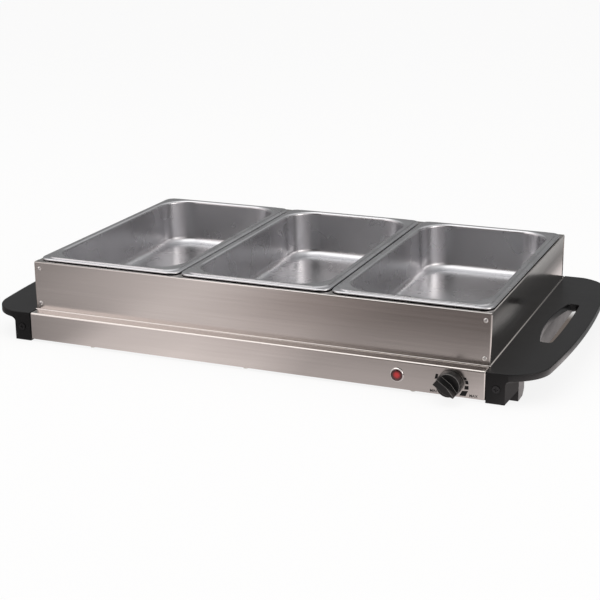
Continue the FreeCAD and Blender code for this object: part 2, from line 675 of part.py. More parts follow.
def bow_radius(half, rise):
    """Radius of an arc from half its chord and its rise."""
    return f"(({half}) * ({half}) + ({rise}) * ({rise})) / (2 * ({rise}))"


def arc_between(start, end, radius):
    """The short arc from start to end that turns to the left."""
    chord = end - start
    middle = (start + end) * 0.5
    half = chord.Length / 2
    left = Vector(-chord.y, chord.x, 0).normalize()
    centre = middle + left * (radius * radius - half * half) ** 0.5
    top = centre - left * radius
    return Part.Arc(start, top, end)


def slot_outline(sketch):
    """Half-moon finger slot: a deep inner bow and a shallow outer one."""
    half = number("slot_half")
    near, near_end = number("base_side + slot_inner"), number("base_side + slot_inner_end")
    far, far_end = number("base_side + slot_outer"), number("base_side + slot_outer_end")
    sketch.addGeometry(Part.LineSegment(Vector(near_end, -half, 0), Vector(far_end, -half, 0)))
    sketch.addGeometry(Part.Arc(Vector(far_end, -half, 0), Vector(far, 0, 0),
                                Vector(far_end, half, 0)))
    sketch.addGeometry(Part.LineSegment(Vector(far_end, half, 0), Vector(near_end, half, 0)))
    sketch.addGeometry(Part.Arc(Vector(near_end, half, 0), Vector(near, 0, 0),
                                Vector(near_end, -half, 0)))
    for index in range(4):
        sketch.addConstraint(Sketcher.Constraint("Coincident", index, 2, (index + 1) % 4, 1))
    ends = [(0, 1, "slot_inner_end", "-slot_half"), (0, 2, "slot_outer_end", "-slot_half"),
            (2, 1, "slot_outer_end", "slot_half"), (2, 2, "slot_inner_end", "slot_half")]
    for index, (geometry, end, reach, y) in enumerate(ends):
        fix_point(sketch, geometry, end, f"p{index}", (f"base_side + {reach}", y))
    bows = (("outer", 1, bow_radius("slot_half", "slot_outer - slot_outer_end")),
            ("inner", 3, bow_radius("slot_half", "slot_inner_end - slot_inner")))
    for name, geometry, size in bows:
        fix_size(sketch, name, size, "Radius", geometry)


def handle():
    right = new_part("right_handle")
    outline = new_sketch(right, "handle_plate_outline", "XY_Plane", ("0", "0", "handle_under"))
    handle_outline(outline)
    extrude(right, "handle_plate_pad", outline, "handle_plate")
    slot = new_sketch(right, "finger_slot_outline", "XY_Plane", ("0", "0", "handle_under"))
    slot_outline(slot)
    extrude(right, "finger_slot", slot, "handle_plate", cut=True)
    slot_end = cell.slot_half
    soften(right, "finger_slot_corners", "slot_corner",
           lambda edge: upright(edge) and abs(abs(edge.BoundBox.YMin) - slot_end) < TOUCH)
    top = level_at(cell.base_top)
    inner = cell.handle_inner
    soften(right, "handle_top_edge", "handle_edge",
           lambda edge: top(edge) and edge.BoundBox.XMax > inner + TOUCH)
    for name, side in (("front", "-1"), ("rear", "1")):
        handle_leg(right, name, side)
    block(right, "handle_inner_wall",
          ("base_side + leg_reach - handle_wall", "-foot_rear - overlap", "apron_bottom"),
          ("base_side + leg_reach", "foot_rear + overlap", "handle_under"))
    block(right, "bracket_recess",
          ("handle_inner - overlap", "-leg_wall_inside", "bracket_bottom - bracket_room"),
          ("bracket_face", "leg_wall_inside", "handle_under"), cut=True)
    mirrored("left_handle", right)


def ordered(side, near, far):
    """Start and end along Y of a stretch on the front (-1) or rear (1) side."""
    ends = [f"{side} * ({near})", f"{side} * ({far})"]
    return ends if side == "1" else ends[::-1]


def handle_leg(right, name, side):
    front, rear = ordered(side, "leg_rear", "base_front")
    block(right, f"{name}_leg", ("handle_inner", front, "pad_proud"),
          ("base_side + leg_reach", rear, "handle_under"))
    front, rear = ordered(side, "foot_rear", "leg_rear")
    block(right, f"{name}_foot_block", ("handle_inner", front, "pad_proud"),
          ("base_side + foot_reach", rear, "handle_under"))
    leg_gusset(right, name, side)
    near_x, far_x = cell.base_side + cell.leg_reach, cell.base_side + cell.foot_reach
    under = level_at(cell.handle_under)
    sign = int(side)

    def along_gusset(edge):
        box = edge.BoundBox
        return under(edge) and abs(box.XMin - near_x) < TOUCH and abs(box.XMax - far_x) < TOUCH \
            and box.YLength > TOUCH and sign * box.Center.y > cell.leg_rear

    soften(right, f"{name}_leg_fillet", "leg_fillet", along_gusset)
    rear_face = sign * cell.foot_rear
    base = level_at(cell.pad_proud)
    doc.recompute()
    tip = right.Tip
    slope = right.newObject("PartDesign::Chamfer", f"{name}_foot_slope")
    plane = across_at(rear_face)
    slope.Base = (tip, edge_names(tip, lambda edge: base(edge) and plane(edge)))
    bind(slope, "Size", "foot_chamfer")
    doc.recompute()
    front, rear = ordered(side, "foot_rear + leg_side_wall", "leg_wall_inside")
    block(right, f"{name}_leg_hollow", ("handle_inner", front, "bracket_bottom - bracket_room"),
          ("base_side + bracket_tab", rear, "handle_under"), cut=True)
    start = "-base_front" if side == "-1" else "base_front - leg_screw_sink"
    round_bar(right, f"{name}_screw_sink", "leg_screw_head + sink_room",
              ("leg_screw_x", start, "leg_screw_height"), "leg_screw_sink", "y", cut=True)
    start = "-base_front" if side == "-1" else "leg_wall_inside"
    round_bar(right, f"{name}_screw_hole", "leg_screw_radius + screw_clearance",
              ("leg_screw_x", start, "leg_screw_height"), "leg_front_wall", "y", cut=True)
    round_bar(right, f"{name}_pad_recess", "pad_radius + fit_clearance",
              ("pad_x", f"{side} * pad_y", "pad_proud"), "pad_height - pad_proud", cut=True)


def leg_gusset(right, name, side):
    """A web between the leg's side and the foot block, open under a slope at its foot."""
    near, far = "base_side + leg_reach", "base_side + foot_reach"
    rise = ("-handle_under", "-pad_proud") if side == "-1" else ("pad_proud", "handle_under")
    wedge(right, f"{name}_gusset", (near, far), (near, near), ("leg_rear", "base_front"), rise,
          180 if side == "-1" else 0)
    depth = ("leg_rear", "base_front") if side == "-1" else ("-base_front", "-leg_rear")
    wedge(right, f"{name}_gusset_notch", (near, far), (far, far),
          ("pad_proud", "pad_proud + gusset_rise"), depth, 90, cut=True)


def handle_brackets():
    right = new_part("right_handle_bracket")
    block(right, "bracket_strip",
          ("base_side", "-leg_wall_inside", "bracket_bottom"),
          ("bracket_face", "leg_wall_inside", "handle_under - bracket_room"))
    for name, side in (("front", "-1"), ("rear", "1")):
        front, rear = ordered(side, "leg_wall_inside - bracket_sheet", "leg_wall_inside")
        block(right, f"bracket_{name}_tab", ("base_side", front, "bracket_bottom"),
              ("base_side + bracket_tab - tab_room", rear, "handle_under - bracket_room"))
        round_bar(right, f"bracket_{name}_thread", "leg_screw_radius + running_clearance",
                  ("leg_screw_x", front, "leg_screw_height"), "bracket_sheet", "y", cut=True)
        round_bar(right, f"bracket_{name}_rivet_hole", "bracket_rivet_radius",
                  ("base_side", f"{side} * bracket_rivet_y", "leg_screw_height"),
                  "bracket_sheet", "x", cut=True)
    mirrored("left_handle_bracket", right)


def bracket_rivets():
    rivets = new_part("bracket_rivets")
    grip = "base_sheet + bracket_sheet"
    for row in (-1, 1):
        for side in (-1, 1):
            tag = f"{row + 2}_{side + 2}"
            y = f"{row} * bracket_rivet_y"
            inner = "base_side - base_sheet" if side > 0 else "-bracket_face"
            round_bar(rivets, f"bracket_rivet_{tag}", "bracket_rivet_radius",
                      (inner, y, "leg_screw_height"), grip, "x")
            round_bar(rivets, f"bracket_rivet_head_{tag}", "bracket_rivet_head",
                      (f"{inner} - bracket_rivet_rise", y, "leg_screw_height"),
                      "bracket_rivet_rise", "x")
            round_bar(rivets, f"bracket_rivet_tail_{tag}", "bracket_rivet_head",
                      (f"{inner} + {grip}", y, "leg_screw_height"), "bracket_rivet_rise", "x")


def handle_screws():
    screws = new_part("handle_screws")
    for row, side in (("front", -1), ("rear", 1)):
        for column in (-1, 1):
            tag = f"{row}_{column + 2}"
            x = f"{column} * leg_screw_x"
            seat = "base_front - leg_screw_sink"
            head = f"-({seat}) - leg_screw_rise" if side < 0 else seat
            shank = f"-({seat})" if side < 0 else f"{seat} - leg_screw_length"
            round_bar(screws, f"leg_screw_head_{tag}", "leg_screw_head",
                      (x, head, "leg_screw_height"), "leg_screw_rise", "y")
            round_bar(screws, f"leg_screw_shank_{tag}", "leg_screw_radius",
                      (x, shank, "leg_screw_height"), "leg_screw_length", "y")
            face = f"{side} * ({seat} + leg_screw_rise)"
            cross_recess(screws, f"leg_screw_cross_{tag}", (x, face, "leg_screw_height"),
                         "leg_screw_head", "y", side)


def foot_pads():
    pads = new_part("foot_pads")
    for row in (-1, 1):
        for column in (-1, 1):
            round_bar(pads, f"foot_pad_{row + 2}_{column + 2}", "pad_radius",
                      (f"{column} * pad_x", f"{row} * pad_y", "0"), "pad_height")


# Heating

def heat_spreader():
    spreader = new_part("heat_spreader")
    block(spreader, "spreader_plate",
          ("-spreader_end", "-spreader_front", "spreader_under"),
          ("spreader_end", "spreader_front", "plate_under"))
    stud_holes(spreader, "spreader_hole", "spreader_under", "spreader_sheet")


def stud_places():
    for row in (-1, 1):
        for column in (-1, 1):
            yield f"{row + 2}_{column + 2}", f"{column} * clamp_x", f"{row} * stud_y"


def stud_holes(solid, name, low, thickness):
    for tag, x, y in stud_places():
        round_bar(solid, f"{name}_{tag}", "stud_radius + screw_clearance", (x, y, low),
                  thickness, cut=True)


def route(points, bend):
    """A wire of straight runs joined by arcs that touch both of their runs."""
    edges, last = [], points[0]
    for before, corner, after in zip(points, points[1:], points[2:]):
        inward = (before - corner).normalize()
        outward = (after - corner).normalize()
        half_angle = inward.getAngle(outward) / 2
        reach = bend / math.tan(half_angle)
        start = corner + inward * reach
        end = corner + outward * reach
        middle = (inward + outward).normalize()
        top = corner + middle * (bend / math.sin(half_angle) - bend)
        if (start - last).Length > TOUCH:
            edges.append(Part.LineSegment(last, start).toShape())
        edges.append(Part.Arc(start, top, end).toShape())
        last = end
    edges.append(Part.LineSegment(last, points[-1]).toShape())
    return Part.Wire(edges)


def tube(points, radius, bend):
    """A round solid along a route."""
    path = route(points, bend)
    first = points[0]
    section = Part.Wire(Part.makeCircle(radius, first, (points[1] - first).normalize()))
    return path.makePipeShell([section], True, False)


def heating_element():
    """A serpentine of four runs; both ends leave at the right."""
    bend = cell.element_pitch / 2
    turn_x = cell.element_half_run + bend
    rows = [(place - OUTER_RUN) * cell.element_pitch for place in range(ROWS)]
    points = [Vector(cell.element_tail, rows[0], cell.element_height)]
    for index, row in enumerate(rows[:-1]):
        side = -1 if index % 2 == 0 else 1
        points.append(Vector(side * turn_x, row, cell.element_height))
        points.append(Vector(side * turn_x, rows[index + 1], cell.element_height))
    points.append(Vector(cell.element_tail, rows[-1], cell.element_height))
    shaped("heating_element", tube(points, cell.element_radius, bend))


def element_pins():
    pins = new_part("element_pins")
    for row in (-1, 1):
        round_bar(pins, f"element_pin_{row + 2}", "pin_radius",
                  ("element_tail", f"{row} * {OUTER_RUN} * element_pitch", "element_height"),
                  "pin_length", "x")


def clamp_bars():
    bars = new_part("clamp_bars")
    for column in (-1, 1):
        block(bars, f"clamp_bar_{column + 2}",
              (f"{column} * clamp_x - clamp_width / 2", "-stud_y - clamp_overhang",
               "clamp_bottom"),
              (f"{column} * clamp_x + clamp_width / 2", "stud_y + clamp_overhang", "clamp_top"))
    stud_holes(bars, "clamp_hole", "clamp_bottom", "clamp_sheet")


def clamp_studs():
    studs = new_part("clamp_studs")
    for tag, x, y in stud_places():
        round_bar(studs, f"clamp_stud_{tag}", "stud_radius", (x, y, "stud_end"),
                  "plate_under - stud_end")


def hexagon(solid, name, x, y, low, height, corner):
    """A six-sided nut blank with corners at the given radius."""
    made = solid.newObject("PartDesign::AdditivePrism", name)
    made.Polygon = 6
    for axis, place in zip("xyz", (x, y, low)):
        bind(made, f"Placement.Base.{axis}", place)
    bind(made, "Circumradius", corner)
    bind(made, "Height", height)
    return made


def stud_nuts():
    nuts = new_part("stud_nuts")
    for level, low in (("upper", "reflector_top"), ("lower", "reflector_bottom - nut_height")):
        for tag, x, y in stud_places():
            hexagon(nuts, f"{level}_nut_{tag}", x, y, low, "nut_height", "nut_radius")
            round_bar(nuts, f"{level}_nut_thread_{tag}", "stud_radius + running_clearance",
                      (x, y, low), "nut_height", cut=True)


def reflector_tray():
    tray = new_part("reflector_tray")
    side = "spreader_end - reflector_margin"
    front = "spreader_front - reflector_margin"
    block(tray, "reflector_blank", (f"-({side})", f"-({front})", "reflector_bottom"),
          (side, front, "spreader_under"))
    block(tray, "reflector_inside",
          (f"-({side}) + reflector_sheet", f"-({front}) + reflector_sheet", "reflector_top"),
          (f"{side} - reflector_sheet", f"{front} - reflector_sheet", "spreader_under"),
          cut=True)
    for row in (-1, 1):
        middle = f"{row} * {OUTER_RUN} * element_pitch"
        block(tray, f"reflector_notch_{row + 2}",
              (f"{side} - reflector_sheet", f"{middle} - reflector_notch / 2", "clamp_top"),
              (side, f"{middle} + reflector_notch / 2", "spreader_under"), cut=True)
    stud_holes(tray, "reflector_hole", "reflector_bottom", "reflector_sheet")


# Control

def thermostat():
    body = new_part("thermostat_body")
    block(body, "thermostat_case",
          ("knob_x - thermostat_length / 2", "-apron_inside",
           "knob_height - thermostat_rise / 2"),
          ("knob_x + thermostat_length / 2", "-thermostat_rear",
           "knob_height + thermostat_rise / 2"))
    round_bar(body, "thermostat_bush", "bush_radius",
              ("knob_x", "-base_front - bush_proud", "knob_height"),
              "bush_proud + base_sheet", "y")
    round_bar(body, "thermostat_bore", "spindle_radius + running_clearance",
              ("knob_x", "-base_front - bush_proud", "knob_height"),
              "bush_proud + base_sheet + spindle_seat + bore_spare", "y", cut=True)
    nut = new_part("thermostat_nut")
    round_bar(nut, "bush_nut_ring", "bush_nut_radius",
              ("knob_x", "-base_front - bush_nut_height", "knob_height"), "bush_nut_height", "y")
    round_bar(nut, "bush_nut_thread", "bush_radius + running_clearance",
              ("knob_x", "-base_front - bush_nut_height", "knob_height"), "bush_nut_height",
              "y", cut=True)
    blades = new_part("thermostat_terminals")
    for place in (-1, 1):
        middle = f"knob_x + {place} * blade_spacing / 2"
        block(blades, f"thermostat_blade_{place + 2}",
              (f"{middle} - blade_sheet / 2", "-thermostat_rear", "knob_height - blade_width / 2"),
              (f"{middle} + blade_sheet / 2", "-thermostat_rear + blade_length",
               "knob_height + blade_width / 2"))


def spindle():
    rod = new_part("thermostat_spindle")
    round_bar(rod, "spindle_rod", "spindle_radius",
              ("knob_x", "-knob_floor - spindle_grip", "knob_height"),
              "knob_floor + spindle_grip - apron_inside + spindle_seat", "y")


def control_knob():
    """A round body with a bar grip across it; the pointed end marks the setting."""
    knob = new_part("control_knob")
    turned(knob, "knob_round", "knob_x", "knob_height",
           [("-knob_back", "0"), ("-knob_back", "knob_radius"),
            ("-knob_back - knob_body_depth + knob_shoulder", "knob_radius - knob_flare"),
            ("-knob_back - knob_body_depth", "knob_face"),
            ("-knob_back - knob_body_depth", "0")])
    grip = new_sketch(knob, "knob_grip_outline", "XZ_Plane",
                      ("knob_x", "knob_height", "knob_floor"))
    grip.AttachmentOffset = Placement(Vector(), Rotation(Vector(0, 0, 1), -cell.knob_rest_angle))
    bind(grip, "AttachmentOffset.Rotation.Angle", "-knob_rest_angle")
    half = "knob_grip_width / 2"
    tip = "knob_grip_tip / 2"
    polygon(grip, [("-knob_grip_blunt", f"-{half}"),
                   ("knob_grip_point - knob_grip_taper", f"-{half}"),
                   ("knob_grip_point", f"-{tip}"), ("knob_grip_point", tip),
                   ("knob_grip_point - knob_grip_taper", half), ("-knob_grip_blunt", half)])
    extrude(knob, "knob_grip", grip, "knob_depth - knob_hollow")
    turned(knob, "knob_back_hollow", "knob_x", "knob_height",
           [("-knob_back", "0"), ("-knob_floor", "0"),
            ("-knob_floor", "knob_radius - knob_wall - knob_wall_slope"),
            ("-knob_back", "knob_radius - knob_wall")], cut=True)
    round_bar(knob, "knob_bore", "spindle_radius",
              ("knob_x", "-knob_floor - spindle_grip", "knob_height"), "spindle_grip", "y",
              cut=True)


def lamp():
    bezel = new_part("lamp_bezel")
    turned(bezel, "bezel_ring", "lamp_x", "lamp_height",
           [("-base_front", "lens_radius + fit_clearance"), ("-base_front", "bezel_radius"),
            ("-base_front - bezel_rise + bezel_slope", "bezel_radius"),
            ("-base_front - bezel_rise", "bezel_radius - bezel_slope"),
            ("-base_front - bezel_rise", "lens_radius + fit_clearance")])
    lens = new_part("lamp_lens")
    turned(lens, "lens_dome", "lamp_x", "lamp_height",
           [("-base_front - lens_seat", "0"), ("-base_front - lens_seat", "lens_radius"),
            ("-base_front - lens_edge", "lens_radius"),
            ("-base_front - (lens_edge + lens_rise) / 2", "lens_radius * 3 / 4"),
            ("-base_front - lens_rise", "lens_radius / 3"), ("-base_front - lens_rise", "0")])
    housing = new_part("lamp_housing")
    round_bar(housing, "lamp_tube", "lamp_body_radius",
              ("lamp_x", "-base_front - lens_seat", "lamp_height"), "lamp_body_depth", "y")
    ring = new_part("lamp_retainer")
    round_bar(ring, "lamp_ring", "lamp_ring_radius", ("lamp_x", "-apron_inside", "lamp_height"),
              "lamp_ring_sheet", "y")
    round_bar(ring, "lamp_ring_hole", "lamp_body_radius + running_clearance",
              ("lamp_x", "-apron_inside", "lamp_height"), "lamp_ring_sheet", "y", cut=True)
    blades = new_part("lamp_terminals")
    for place in (-1, 1):
        middle = f"lamp_x + {place} * lamp_blade_spacing / 2"
        block(blades, f"lamp_blade_{place + 2}",
              (f"{middle} - blade_sheet / 2", "-lamp_rear", "lamp_height - blade_width / 2"),
              (f"{middle} + blade_sheet / 2", "-lamp_rear + blade_length",
               "lamp_height + blade_width / 2"))


# Supply

def terminal_block():
    piece = new_part("terminal_block")
    block(piece, "block_case",
          ("block_x - block_length / 2", "apron_inside - block_depth", "block_bottom"),
          ("block_x + block_length / 2", "apron_inside", "block_bottom + block_rise"))
    round_bar(piece, "block_screw_hole", "block_screw_radius + running_clearance",
              ("block_x", "base_front - base_sheet - block_screw_length",
               "block_bottom + block_rise / 2"), "block_screw_length", "y", cut=True)
    screws = new_part("terminal_screws")
    poles = int(cell.block_poles)
    for pole in range(poles):
        x = f"block_x + {pole - (poles - 1) / 2} * block_pole_pitch"
        round_bar(screws, f"pole_screw_{pole + 1}", "pole_screw_radius",
                  (x, "apron_inside - block_depth / 2", "block_bottom + block_rise"),
                  "pole_screw_rise")
    holder = new_part("block_screw")
    round_bar(holder, "block_screw_head", "cover_screw_head",
              ("block_x", "base_front", "block_bottom + block_rise / 2"), "cover_screw_rise", "y")
    round_bar(holder, "block_screw_shank", "block_screw_radius",
              ("block_x", "base_front - block_screw_length", "block_bottom + block_rise / 2"),
              "block_screw_length", "y")
    cross_recess(holder, "block_screw_cross",
                 ("block_x", "base_front + cover_screw_rise", "block_bottom + block_rise / 2"),
                 "cover_screw_head", "y", 1)


def cord_gland():
    gland = new_part("cord_gland")
    turned(gland, "gland_form", "gland_x", "gland_height",
           [("apron_inside - gland_inside", "gland_entry"),
            ("apron_inside - gland_inside", "gland_neck"), ("base_front", "gland_neck"),
            ("base_front", "gland_flange"), ("base_front + gland_flange_rise", "gland_flange"),
            ("base_front + gland_flange_rise + gland_lip", "gland_nose + gland_swell"),
            ("gland_rear - gland_lip", "gland_nose + gland_taper"),
            ("gland_rear", "gland_nose"),
            ("gland_rear", "gland_bore"), ("base_front", "gland_bore"),
            ("base_front", "gland_entry")])
    nut = new_part("gland_nut")
    round_bar(nut, "gland_nut_ring", "gland_nut_radius",
              ("gland_x", "apron_inside - gland_nut_height", "gland_height"),
              "gland_nut_height", "y")
    round_bar(nut, "gland_nut_thread", "gland_neck + running_clearance",
              ("gland_x", "apron_inside - gland_nut_height", "gland_height"),
              "gland_nut_height", "y", cut=True)


def thermal_fuse():
    fuse = new_part("thermal_fuse")
    round_bar(fuse, "fuse_can", "fuse_radius", ("fuse_x", "-fuse_length / 2", "fuse_height"),
              "fuse_length", "y")
    clip = new_part("fuse_clip")
    low, high = "-clip_width / 2", "clip_width / 2"
    block(clip, "clip_strap", ("fuse_x - clip_reach", low, "clip_top - clip_sheet"),
          ("fuse_x + clip_stud_reach + small_nut_radius", high, "clip_top"))
    block(clip, "clip_leg", ("fuse_x - clip_reach", low, "clip_top"),
          ("fuse_x - clip_reach + clip_sheet", high, "plate_under"))
    round_bar(clip, "clip_hole", "small_stud_radius + screw_clearance",
              ("fuse_x + clip_stud_reach", "0", "clip_top - clip_sheet"), "clip_sheet", cut=True)


def earth_and_clip_studs():
    studs = new_part("small_studs")
    nuts = new_part("small_nuts")
    places = (("clip", "fuse_x + clip_stud_reach", "0", "clip_top - clip_sheet"),
              ("earth", "earth_x", "earth_y", "plate_under - lug_sheet"))
    for name, x, y, seat in places:
        end = f"{seat} - small_nut_height - small_stud_tail"
        round_bar(studs, f"{name}_stud", "small_stud_radius", (x, y, end),
                  f"plate_under - ({end})")
        hexagon(nuts, f"{name}_nut", x, y, f"{seat} - small_nut_height", "small_nut_height",
                "small_nut_radius")
        round_bar(nuts, f"{name}_nut_thread", "small_stud_radius + running_clearance",
                  (x, y, f"{seat} - small_nut_height"), "small_nut_height", cut=True)
    lug = new_part("earth_lug")
    round_bar(lug, "lug_ring", "lug_radius", ("earth_x", "earth_y", "plate_under - lug_sheet"),
              "lug_sheet")
    block(lug, "lug_tongue_strip",
          ("earth_x - lug_radius / 2", "earth_y", "plate_under - lug_sheet"),
          ("earth_x + lug_radius / 2", "earth_y + lug_tongue", "plate_under"))
    round_bar(lug, "lug_hole", "small_stud_radius + screw_clearance",
              ("earth_x", "earth_y", "plate_under - lug_sheet"), "lug_sheet", cut=True)


def pole_place(pole):
    """Centre of the front face of one pole of the terminal block."""
    x = cell.block_x + (pole - (cell.block_poles - 1) / 2) * cell.block_pole_pitch
    return Vector(x, cell.apron_inside - cell.block_depth, cell.block_bottom + cell.pole_height)


def lead(points):
    solid = tube(points, cell.lead_radius, cell.lead_bend)
    path = route(points, cell.lead_bend)
    print(f"lead of {path.Length:.0f} mm, bend {cell.lead_bend:g} mm")
    return solid


def leads():
    """Insulated leads from piece to piece inside the base."""
    low = cell.apron_bottom + cell.base_sheet + cell.lead_floor
    blade_y = -cell.thermostat_rear + cell.blade_length
    left_blade = Vector(cell.knob_x - cell.blade_spacing / 2, blade_y, cell.knob_height)
    right_blade = Vector(cell.knob_x + cell.blade_spacing / 2, blade_y, cell.knob_height)
    fuse_front = Vector(cell.fuse_x, -cell.fuse_length / 2, cell.fuse_height)
    fuse_rear = Vector(cell.fuse_x, cell.fuse_length / 2, cell.fuse_height)
    pin_x = cell.element_tail + cell.pin_length
    pin_y = OUTER_RUN * cell.element_pitch
    front_pin = Vector(pin_x, -pin_y, cell.element_height)
    rear_pin = Vector(pin_x, pin_y, cell.element_height)
    live, neutral, earth = pole_place(2), pole_place(1), pole_place(0)

    lane_x, lane_y = cell.fuse_x + cell.live_lane, fuse_rear.y + cell.live_turn
    live_y = live.y - cell.live_run
    shaped("live_lead", lead([
        live, Vector(live.x, live_y, live.z), Vector(lane_x, live_y, live.z),
        Vector(lane_x, lane_y, live.z), Vector(cell.fuse_x, lane_y, live.z),
        Vector(cell.fuse_x, lane_y, cell.fuse_height), fuse_rear]))
    turn_y = fuse_front.y - cell.fuse_run
    shaped("fuse_lead", lead([
        fuse_front, Vector(cell.fuse_x, turn_y, cell.fuse_height),
        Vector(right_blade.x, turn_y, cell.fuse_height),
        Vector(right_blade.x, turn_y, cell.knob_height), right_blade]))
    turn_x, turn_y = pin_x + cell.element_run, blade_y + cell.blade_run
    shaped("element_lead", lead([
        front_pin, Vector(turn_x, -pin_y, cell.element_height),
        Vector(turn_x, -pin_y, cell.knob_height), Vector(turn_x, turn_y, cell.knob_height),
        Vector(left_blade.x, turn_y, cell.knob_height), left_blade]))
    turn_x, turn_y = pin_x + cell.neutral_run, neutral.y - cell.neutral_turn
    shaped("neutral_lead", lead([
        rear_pin, Vector(turn_x, pin_y, cell.element_height), Vector(turn_x, pin_y, low),
        Vector(turn_x, turn_y, low), Vector(neutral.x, turn_y, low),
        Vector(neutral.x, neutral.y, low)]))
    lug_y = cell.earth_y + cell.lug_tongue
    lug_z = cell.plate_under - cell.lug_sheet - cell.lead_radius
    turn_y = lug_y + cell.earth_run
    shaped("earth_lead", lead([
        Vector(cell.earth_x, lug_y, lug_z), Vector(cell.earth_x, turn_y, lug_z),
        Vector(earth.x, turn_y, lug_z), Vector(earth.x, turn_y, earth.z), earth]))


# Pan frame

def front_panel(label, side):
    panel = new_part(label)
    low = ("-base_side", "-frame_front" if side == "-1" else "frame_front - frame_sheet",
           "base_top")
    high = ("base_side", "-frame_front + frame_sheet" if side == "-1" else "frame_front",
            "frame_top")
    block(panel, "panel_web", low, high)
    for name, reach, half, bottom, top in (
            ("flange", "frame_flange", "base_side", "frame_top - frame_sheet", "frame_top"),
            ("hem", "frame_hem", "base_side - frame_sheet", "base_top",
             "base_top + frame_sheet")):
        start, end = ordered(side, f"frame_front - {reach}", "frame_front")
        block(panel, f"panel_{name}", (f"-({half})", start, bottom), (half, end, top))
    face = int(side) * cell.frame_front
    plane = across_at(face)
    top_edge = level_at(cell.frame_top)
    foot_edge = level_at(cell.base_top)
    soften(panel, "panel_bends", "frame_bend",
           lambda edge: plane(edge) and (top_edge(edge) or foot_edge(edge)))
    inside = across_at(int(side) * cell.frame_inside)
    under = level_at(cell.frame_top - cell.frame_sheet)
    over = level_at(cell.base_top + cell.frame_sheet)
    soften(panel, "panel_inner_bends", "frame_bend - frame_sheet",
           lambda edge: inside(edge) and (under(edge) or over(edge)))
    start, _ = ordered(side, "frame_inside", "frame_front")
    for row in ("upper", "lower"):
        for column in (-1, 1):
            round_bar(panel, f"{row}_rivet_hole_{column + 2}", "rivet_radius",
                      (f"{column} * rivet_x", start, f"rivet_{row}"), "frame_sheet", "y",
                      cut=True)


def side_panel():
    """The right side panel, with tabs behind the front and rear panels."""
    panel = new_part("frame_right_panel")
    block(panel, "side_web",
          ("base_side - frame_sheet", "-frame_inside", "base_top"),
          ("base_side", "frame_inside", "frame_top - frame_sheet"))
    block(panel, "side_flange",
          ("base_side - frame_flange", "-frame_front + frame_flange", "frame_top - frame_sheet"),
          ("base_side", "frame_front - frame_flange", "frame_top"))
    block(panel, "side_hem",
          ("base_side - frame_hem", "-frame_front + frame_flange", "base_top"),
          ("base_side", "frame_front - frame_flange", "base_top + frame_sheet"))
    for name, side in (("front", "-1"), ("rear", "1")):
        start, end = ordered(side, "frame_inside - frame_sheet", "frame_inside")
        block(panel, f"{name}_tab",
              ("base_side - corner_tab", start, "base_top + frame_sheet + overlap"),
              ("base_side", end, "frame_top - frame_sheet - overlap"))
        for row in ("upper", "lower"):
            round_bar(panel, f"{name}_{row}_tab_hole", "rivet_radius",
                      ("rivet_x", start, f"rivet_{row}"), "frame_sheet", "y", cut=True)
    side = cell.base_side

    def outer_long_edge(edge):
        box = edge.BoundBox
        flat = box.ZLength < TOUCH and (abs(box.ZMin - cell.frame_top) < TOUCH)
        return flat and abs(box.XMin - side) < TOUCH and abs(box.XMax - side) < TOUCH

    soften(panel, "side_bend", "frame_bend * 3 / 5", outer_long_edge)
    mirrored("frame_left_panel", panel)


def frame_rivets():
    rivets = new_part("frame_rivets")
    grip = "2 * frame_sheet"
    for side in (-1, 1):
        for row in ("upper", "lower"):
            for column in (-1, 1):
                tag = f"{side + 2}_{row}_{column + 2}"
                x, z = f"{column} * rivet_x", f"rivet_{row}"
                face = "frame_front"
                start = f"-{face}" if side < 0 else f"{face} - {grip}"
                head = f"-{face} - rivet_rise" if side < 0 else face
                tail = (f"-{face} + {grip}" if side < 0
                        else f"{face} - {grip} - rivet_rise")
                round_bar(rivets, f"rivet_{tag}", "rivet_radius", (x, start, z), grip, "y")
                round_bar(rivets, f"rivet_head_{tag}", "rivet_head", (x, head, z),
                          "rivet_rise", "y")
                round_bar(rivets, f"rivet_tail_{tag}", "rivet_head", (x, tail, z),
                          "rivet_rise", "y")


def divider_bars():
    bars = new_part("divider_bars")
    for column in (-1, 1):
        middle = f"{column} * pan_pitch / 2"
        end = "frame_front - frame_flange"
        block(bars, f"divider_{column + 2}",
              (f"{middle} - divider_width / 2", f"-({end})", "frame_top - divider_depth"),
              (f"{middle} + divider_width / 2", end, "frame_top"))
        block(bars, f"divider_inside_{column + 2}",
              (f"{middle} - divider_width / 2 + frame_sheet", f"-({end})",
               "frame_top - divider_depth"),
              (f"{middle} + divider_width / 2 - frame_sheet", end, "frame_top - frame_sheet"),
              cut=True)


# Pans

def sloping_faces(feature, low, high):
    """Side faces of a well: all that reach from one height to the other."""
    names = []
    for index, face in enumerate(feature.Shape.Faces, start=1):
        box = face.BoundBox
        if abs(box.ZMin - low) < NEAR and abs(box.ZMax - high) < NEAR:
            names.append(f"Face{index}")
    return names


def draft(solid, name, low, high, neutral):
    doc.recompute()
    base = solid.Tip
    made = solid.newObject("PartDesign::Draft", name)
    made.Base = (base, sloping_faces(base, low, high))
    made.NeutralPlane = neutral
    made.Reversed = True
    bind(made, "Angle", "pan_draft")
    doc.recompute()
    return made


def neutral_plane(solid, name):
    """A level plane at the rim, where the well keeps its full size."""
    plane = solid.newObject("PartDesign::Plane", name)
    plane.AttachmentSupport = [(plane_of(solid, "XY_Plane"), "")]
    plane.MapMode = "FlatFace"
    bind(plane, "AttachmentOffset.Base.z", "rim_top - pan_sheet")
    return (plane, [""])


